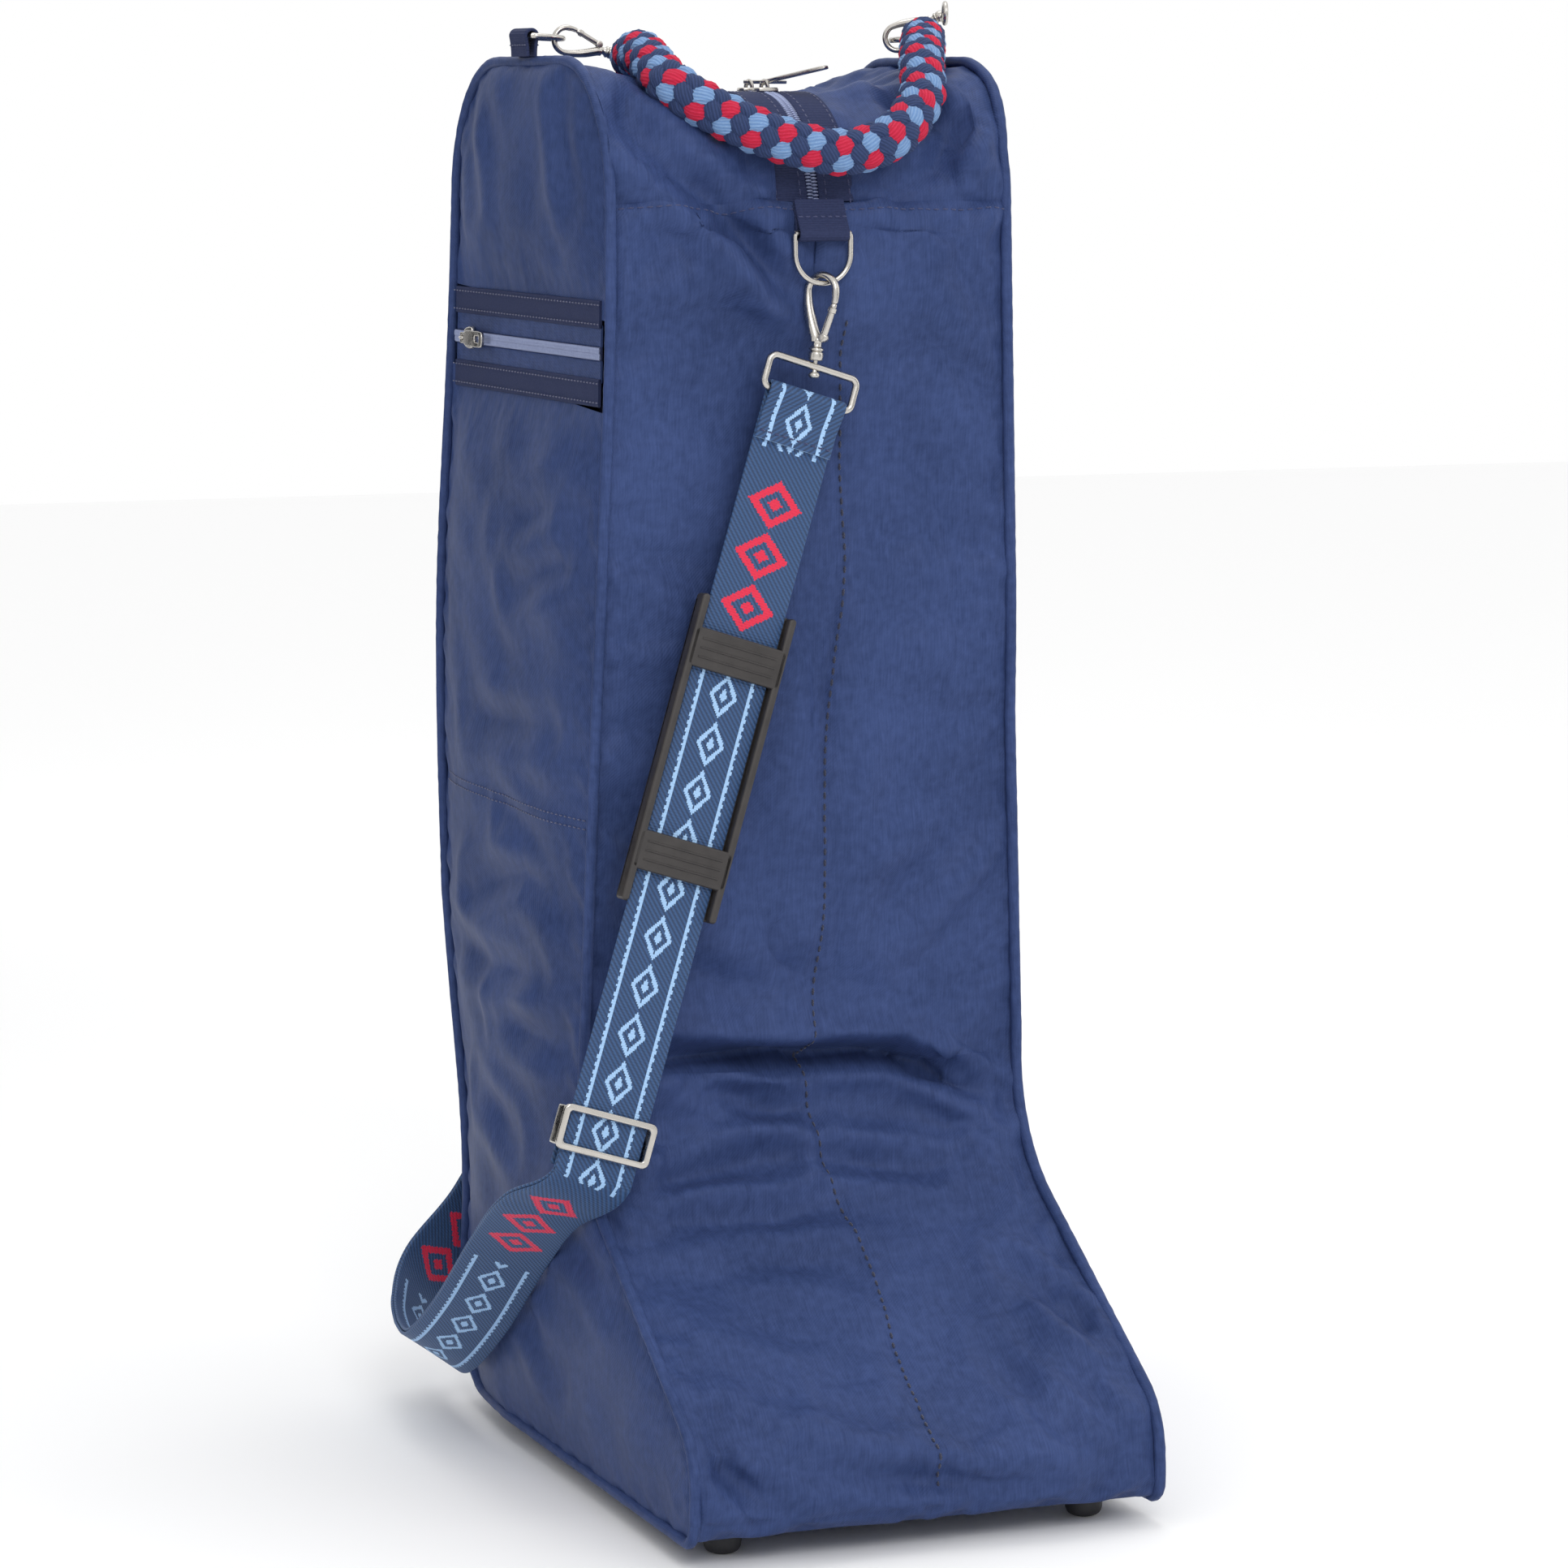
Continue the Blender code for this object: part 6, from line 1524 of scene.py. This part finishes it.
def patterned_webbing(name):
    """Jacquard webbing: blue twill ground, a pale rope line along both edges, diamonds and chevrons."""
    made, tree, shader = new_material(name, roughness=0.6)
    shader.inputs["Sheen Weight"].default_value = 0.3
    shader.inputs["Sheen Tint"].default_value = srgb("9db4da")
    cloth = add(tree, "ShaderNodeUVMap", uv_map="cloth").outputs["UV"]
    parts = add(tree, "ShaderNodeSeparateXYZ", {"Vector": cloth})

    def sum_up(operation, *values):
        inputs = {i: value for i, value in enumerate(values)}
        return add(tree, "ShaderNodeMath", inputs, operation=operation).outputs[0]

    across = sum_up("SNAP", parts.outputs["X"], 0.0007)
    along = sum_up("SNAP", parts.outputs["Y"], 0.0009)
    off = sum_up("ABSOLUTE", across)
    drop = sum_up("WRAP", sum_up("SUBTRACT", along, RED_START), PATTERN_REPEAT, 0.0)
    in_red = sum_up("LESS_THAN", drop, RED_LENGTH)
    in_pale = sum_up("MULTIPLY", sum_up("GREATER_THAN", drop, RED_LENGTH + 0.012),
                     sum_up("LESS_THAN", drop, PATTERN_REPEAT - 0.012))

    def diamonds(run, length, width, inner):
        half = sum_up("ABSOLUTE", sum_up("SUBTRACT", sum_up("WRAP", run, length, 0.0), length / 2))
        size = sum_up("ADD", sum_up("DIVIDE", off, width), sum_up("DIVIDE", half, length * 0.46))
        ring = sum_up("MULTIPLY", sum_up("LESS_THAN", size, 1.0), sum_up("GREATER_THAN", size, inner))
        return sum_up("MAXIMUM", ring, sum_up("LESS_THAN", size, inner * 0.45)), half

    red_figure, _ = diamonds(drop, RED_LENGTH / 3, 0.0135, 0.62)
    red = sum_up("MULTIPLY", in_red, red_figure)
    pale_figure, half = diamonds(drop, 0.0225, 0.0070, 0.68)
    rope_wave = sum_up("MULTIPLY", sum_up("SINE", sum_up("MULTIPLY", along, 2 * math.pi / 0.0036)), 0.00022)
    rope = sum_up("LESS_THAN", sum_up("ABSOLUTE",
                                      sum_up("SUBTRACT", sum_up("ADD", off, rope_wave), 0.0124)), 0.0009)
    pale = sum_up("MULTIPLY", in_pale, sum_up("MAXIMUM", rope, pale_figure))
    twill = add(tree, "ShaderNodeTexWave", {"Vector": cloth, "Scale": 0.314 / 0.0013},
                bands_direction="DIAGONAL")
    ground = add(tree, "ShaderNodeMixRGB",
                 {"Fac": twill.outputs["Fac"], "Color1": srgb("1b3355"), "Color2": srgb("2d5180")})
    with_red = add(tree, "ShaderNodeMixRGB",
                   {"Fac": red, "Color1": ground.outputs["Color"], "Color2": srgb("d8163f")})
    with_pale = add(tree, "ShaderNodeMixRGB",
                    {"Fac": pale, "Color1": with_red.outputs["Color"], "Color2": srgb("9cc1e8")})
    tree.links.new(with_pale.outputs["Color"], shader.inputs["Base Color"])
    rib = add(tree, "ShaderNodeTexWave", {"Vector": cloth, "Scale": 0.314 / 0.0012}, bands_direction="Y")
    raised = sum_up("ADD", sum_up("MULTIPLY", twill.outputs["Fac"], 0.6),
                    sum_up("MULTIPLY", rib.outputs["Fac"], 0.5))
    figure = sum_up("ADD", raised, sum_up("MULTIPLY", sum_up("MAXIMUM", red, pale), 0.7))
    bump = add(tree, "ShaderNodeBump", {"Height": figure, "Strength": 0.7, "Distance": 0.0004})
    tree.links.new(bump.outputs["Normal"], shader.inputs["Normal"])
    return made


def moulded_plastic(name):
    """Black moulded plastic: a fine spark-eroded grain, with scattered rubbed patches that are lighter and
    rougher.
    """
    made, tree, shader = new_material(name, roughness=0.42)
    spot = add(tree, "ShaderNodeTexCoord").outputs["Object"]
    grain = add(tree, "ShaderNodeTexNoise", {"Vector": spot, "Scale": 1700.0, "Detail": 2.0})
    rubbed = add(tree, "ShaderNodeTexNoise", {"Vector": spot, "Scale": 120.0, "Detail": 3.0})
    tone = add(tree, "ShaderNodeMixRGB", {"Fac": rubbed.outputs["Fac"], "Color1": srgb("221f1f"),
                                          "Color2": srgb("3b3736")})
    rough = add(tree, "ShaderNodeMapRange",
                {"Value": rubbed.outputs["Fac"], "To Min": 0.32, "To Max": 0.55})
    tree.links.new(tone.outputs["Color"], shader.inputs["Base Color"])
    tree.links.new(rough.outputs["Result"], shader.inputs["Roughness"])
    bump = add(tree, "ShaderNodeBump", {"Height": grain.outputs["Fac"], "Strength": 0.3,
                                        "Distance": 0.0002})
    tree.links.new(bump.outputs["Normal"], shader.inputs["Normal"])
    return made


def width_direction(tilt, along):
    wide = Vector((-math.cos(math.radians(tilt)), 0, math.sin(math.radians(tilt))))
    return (wide - along * wide.dot(along)).normalized()


def strap_end(end, outward, down_to, tilt):
    """Hook, gate and rectangular loop at one end; returns the webbing's bar and directions."""
    lean = math.radians(6) if outward < 0 else 0.0
    axis = Vector((-math.sin(lean), 0, -math.cos(lean)))
    yaw = math.radians(35)
    spine = (-math.sin(yaw), -outward * math.cos(yaw), 0)
    matrix = hook_matrix(ring_centres[end] - UP * RING_RADIUS, axis, spine, 1.0)
    swivel = matrix @ Vector((0, 0, -HOOK_LENGTH))
    snap_hook(f"strap_hook_{end}", matrix, 1.0, f"strap_hook_{end}", True)
    snap_gate(f"strap_gate_{end}", matrix, 1.0)
    down = (Vector(down_to) - swivel).normalized()
    wide = width_direction(tilt, down)
    top = swivel + axis * (LOOP_WIRE + SWIVEL_GAP)
    half, corner = STRAP_WIDTH / 2 + LOOP_CLEARANCE + LOOP_WIRE, 0.0034
    points = []
    for side, low, turn in ((1, 0, 0), (1, 1, 1), (-1, 1, 2), (-1, 0, 3)):
        centre = top + wide * side * (half - corner) + down * (LOOP_HEIGHT - corner if low else corner)
        for step in range(9):
            angle = math.pi / 2 * (turn + step / 8)
            points.append(tuple(centre + (-down * math.cos(angle) + wide * math.sin(angle)) * corner))
    loop = tube(f"strap_loop_rod_{end}", points, LOOP_WIRE, nickel, sides=16, closed=True)
    finish_piece(loop, "strap", "nickel", f"strap_loop_{end}")
    return top + down * LOOP_HEIGHT, wide, down


def wrapped(bar, outward, over, radius, start=0.0, steps=20):
    turns = [start + (math.pi - start) * step / steps for step in range(steps + 1)]
    spokes = [outward * math.cos(turn) + over * math.sin(turn) for turn in turns]
    return [(bar + spoke * radius, spoke) for spoke in spokes]


webbing = patterned_webbing("jacquard_webbing")
plastic = moulded_plastic("moulded_plastic")
last = STRAP_KNOTS[-1]
bar, wide, down = strap_end("front", -1, STRAP_AIM, FRONT_TILT)
rear_bar, rear_wide, rear_down = strap_end("rear", 1, (last[0], BACK_Y - last[1], last[2]), 0)
out = wide.cross(down).normalized()
run_start = bar - out * WRAP_RADIUS
stations = []
for step in range(13):
    along = STRAP_LAP * (1 - step / 12)
    ease = min(1.0, along / 0.012)
    rise = WRAP_RADIUS * (1 - ease) + (LAYER_STEP + TOUCH_GAP / 2 - WRAP_RADIUS) * ease
    stations.append((bar + down * along + out * rise, wide, out))
stations += [(spot, wide, spoke) for spot, spoke in wrapped(bar, out, -down, WRAP_RADIUS)][1:-1]
adjuster = run_start + down * ADJUSTER_ALONG
run_end = adjuster + down * (ADJUSTER_LENGTH / 2 + BEND_LEAD)
straight_length = ADJUSTER_ALONG + ADJUSTER_LENGTH / 2 + TOUCH_GAP
run = [run_start + down * straight_length * step / 90 for step in range(91)]
rear_out = rear_wide.cross(-rear_down).normalized()
arrive = rear_bar + rear_out * WRAP_RADIUS
lead = arrive + rear_down * REAR_LEAD
knots = [run_end] + [Vector((x, BACK_Y - depth, z)) for x, depth, z, _ in STRAP_KNOTS] + [lead]
curve = smooth_line(np.array([tuple(p) for p in [run_end - down * 0.05] + knots + [arrive]]), 14)[14:-14]
curve_at = measured(curve)
tilts = np.interp(curve_at, curve_at[::14], [FRONT_TILT] + [tilt for _, _, _, tilt in STRAP_KNOTS] + [0])
places = run + [Vector(p) for p in curve] + [lead.lerp(arrive, step / 8) for step in range(1, 9)]
all_tilts = [FRONT_TILT] * len(run) + tilts.tolist() + [0] * 8
main = []
for i, spot in enumerate(places):
    along = (places[min(i + 1, len(places) - 1)] - places[max(i - 1, 0)]).normalized()
    side = width_direction(all_tilts[i], along)
    main.append((spot, side, -side.cross(along).normalized()))
stations += main


def webbing_piece(name, stations, node):
    spots = np.array([tuple(p) for p, _, _ in stations])
    piece = ribbon(name, spots, [tuple(w) for _, w, _ in stations], [tuple(f) for _, _, f in stations],
                   STRAP_WIDTH, STRAP_THICKNESS, webbing, across=14)
    return finish_piece(piece, "strap", "strap_webbing", node), spots


strap_main, main_path = webbing_piece("strap_webbing_main", stations, "strap_main")
bar_depth = LAYER_STEP + ADJUSTER_BAR * math.sqrt(0.5) + TOUCH_GAP + STRAP_THICKNESS / 2
back = [(spot, rear_wide, spoke) for spot,
        spoke in wrapped(rear_bar, rear_out, -rear_down, WRAP_RADIUS, 0.15)]
for i in range(len(places) - 3, len(run) - 2, -1):
    spot, side, face = main[i]
    gone = (spot - arrive).length
    drop = LAYER_STEP + max(0.0, 1 - gone / OPEN_LENGTH) * (2 * WRAP_RADIUS - LAYER_STEP)
    back.append((spot + face * drop, side, face))
centre_bar = adjuster - out * bar_depth
back += [(spot, wide, -spoke) for spot, spoke in wrapped(centre_bar, out, -down, bar_depth - LAYER_STEP)]
back += [(centre_bar - out * (bar_depth - LAYER_STEP) + down * ADJUSTER_TAIL * step / 8, wide,
          out) for step in range(1, 9)]
strap_return, return_path = webbing_piece("strap_webbing_return", back, "strap_return")

lap_lines = []
for along in (0.0065, 0.0195):
    middle = bar + down * along + out * (LAYER_STEP + TOUCH_GAP / 2 - WRAP_RADIUS + STRAP_THICKNESS / 2
                                         + 0.0003)
    lap_lines.append((np.array([tuple(middle - wide * 0.0165), tuple(middle + wide * 0.0165)]), tuple(out)))
lap = repeated("strap_lap_stitches", lap_lines, 0.0034, (0.0026, 0.0008, 0.0007), thread_navy, body="strap")

pad_spot = run_start + down * PAD_ALONG
pad_frame = frame_of(pad_spot, wide, down, out)
slot_top = STRAP_THICKNESS / 2 + TOUCH_GAP
rail_x = (STRAP_WIDTH / 2 + SLOT_CLEARANCE + PAD_WIDTH / 2) / 2
rail_wide = PAD_WIDTH / 2 - STRAP_WIDTH / 2 - SLOT_CLEARANCE
pad_parts = [plate("pad_base", [round_rect(PAD_WIDTH, PAD_LENGTH, 0.003)], 0.0030, 0.0008,
                   pad_frame @ Matrix.Translation((0, 0, -slot_top - 0.0015)), plastic)]
for side in (-1, 1):
    pad_parts.append(plate("pad_rail", [round_rect(rail_wide, PAD_LENGTH, 0.0017)], slot_top * 2 + 0.0064,
                           0.0011,
                           pad_frame @ Matrix.Translation((side * rail_x, 0, 0.0002)), plastic))
    middle = side * (PAD_LENGTH / 2 - PAD_BAR_INSET - PAD_BAR / 2)
    pad_parts.append(plate("pad_bar", [round_rect(PAD_WIDTH - 0.0004, PAD_BAR, 0.0022)], 0.0034, 0.0010,
                           pad_frame @ Matrix.Translation((0, middle, slot_top + 0.0017)), plastic))
    for groove in (-1, 0, 1):
        rib = [tuple(pad_frame @ Vector((x, middle + groove * 0.0042,
                                         slot_top + 0.0033 + 0.0001 * (1 - abs(x) / 0.02))))
               for x in np.linspace(-0.0185, 0.0185, 16)]
        pad_parts.append(tube("pad_rib", rib, 0.0005, plastic, sides=8))
pad = finish_piece(joined("shoulder_pad", pad_parts), "strap_pad", "pad_plastic", "strap_pad")

adjuster_frame = frame_of(adjuster, wide, down, out)
inner_wide = STRAP_WIDTH + 2 * SLOT_CLEARANCE
cheek = (ADJUSTER_WIDTH - inner_wide) / 2
front_frame = plate("adjuster_frame", [round_rect(ADJUSTER_WIDTH, ADJUSTER_LENGTH, 0.0035),
                                       round_rect(inner_wide, ADJUSTER_LENGTH - 0.0064, 0.0014)], 0.0024,
                                       0.0008,
                    adjuster_frame @ Matrix.Translation((0, 0, slot_top + 0.0012)), nickel)
metal = [front_frame]
for side in (-1, 1):
    metal.append(plate("adjuster_cheek", [round_rect(cheek, ADJUSTER_LENGTH * 0.86, 0.0010)],
                       slot_top + bar_depth + 0.0014, 0.0005,
                       adjuster_frame @ Matrix.Translation((side * (ADJUSTER_WIDTH - cheek) / 2, 0,
                                                            (slot_top - bar_depth) / 2)),
                       nickel))
rod = [tuple(adjuster_frame @ Vector((x, 0, -bar_depth))) for x in np.linspace(-ADJUSTER_WIDTH / 2 + 0.001,
        ADJUSTER_WIDTH / 2 - 0.001, 8)]
metal.append(tube("adjuster_bar", rod, ADJUSTER_BAR / 2, nickel, sides=12))
adjuster_piece = finish_piece(joined("adjuster_metal", metal), "strap", "nickel", "strap_adjuster")
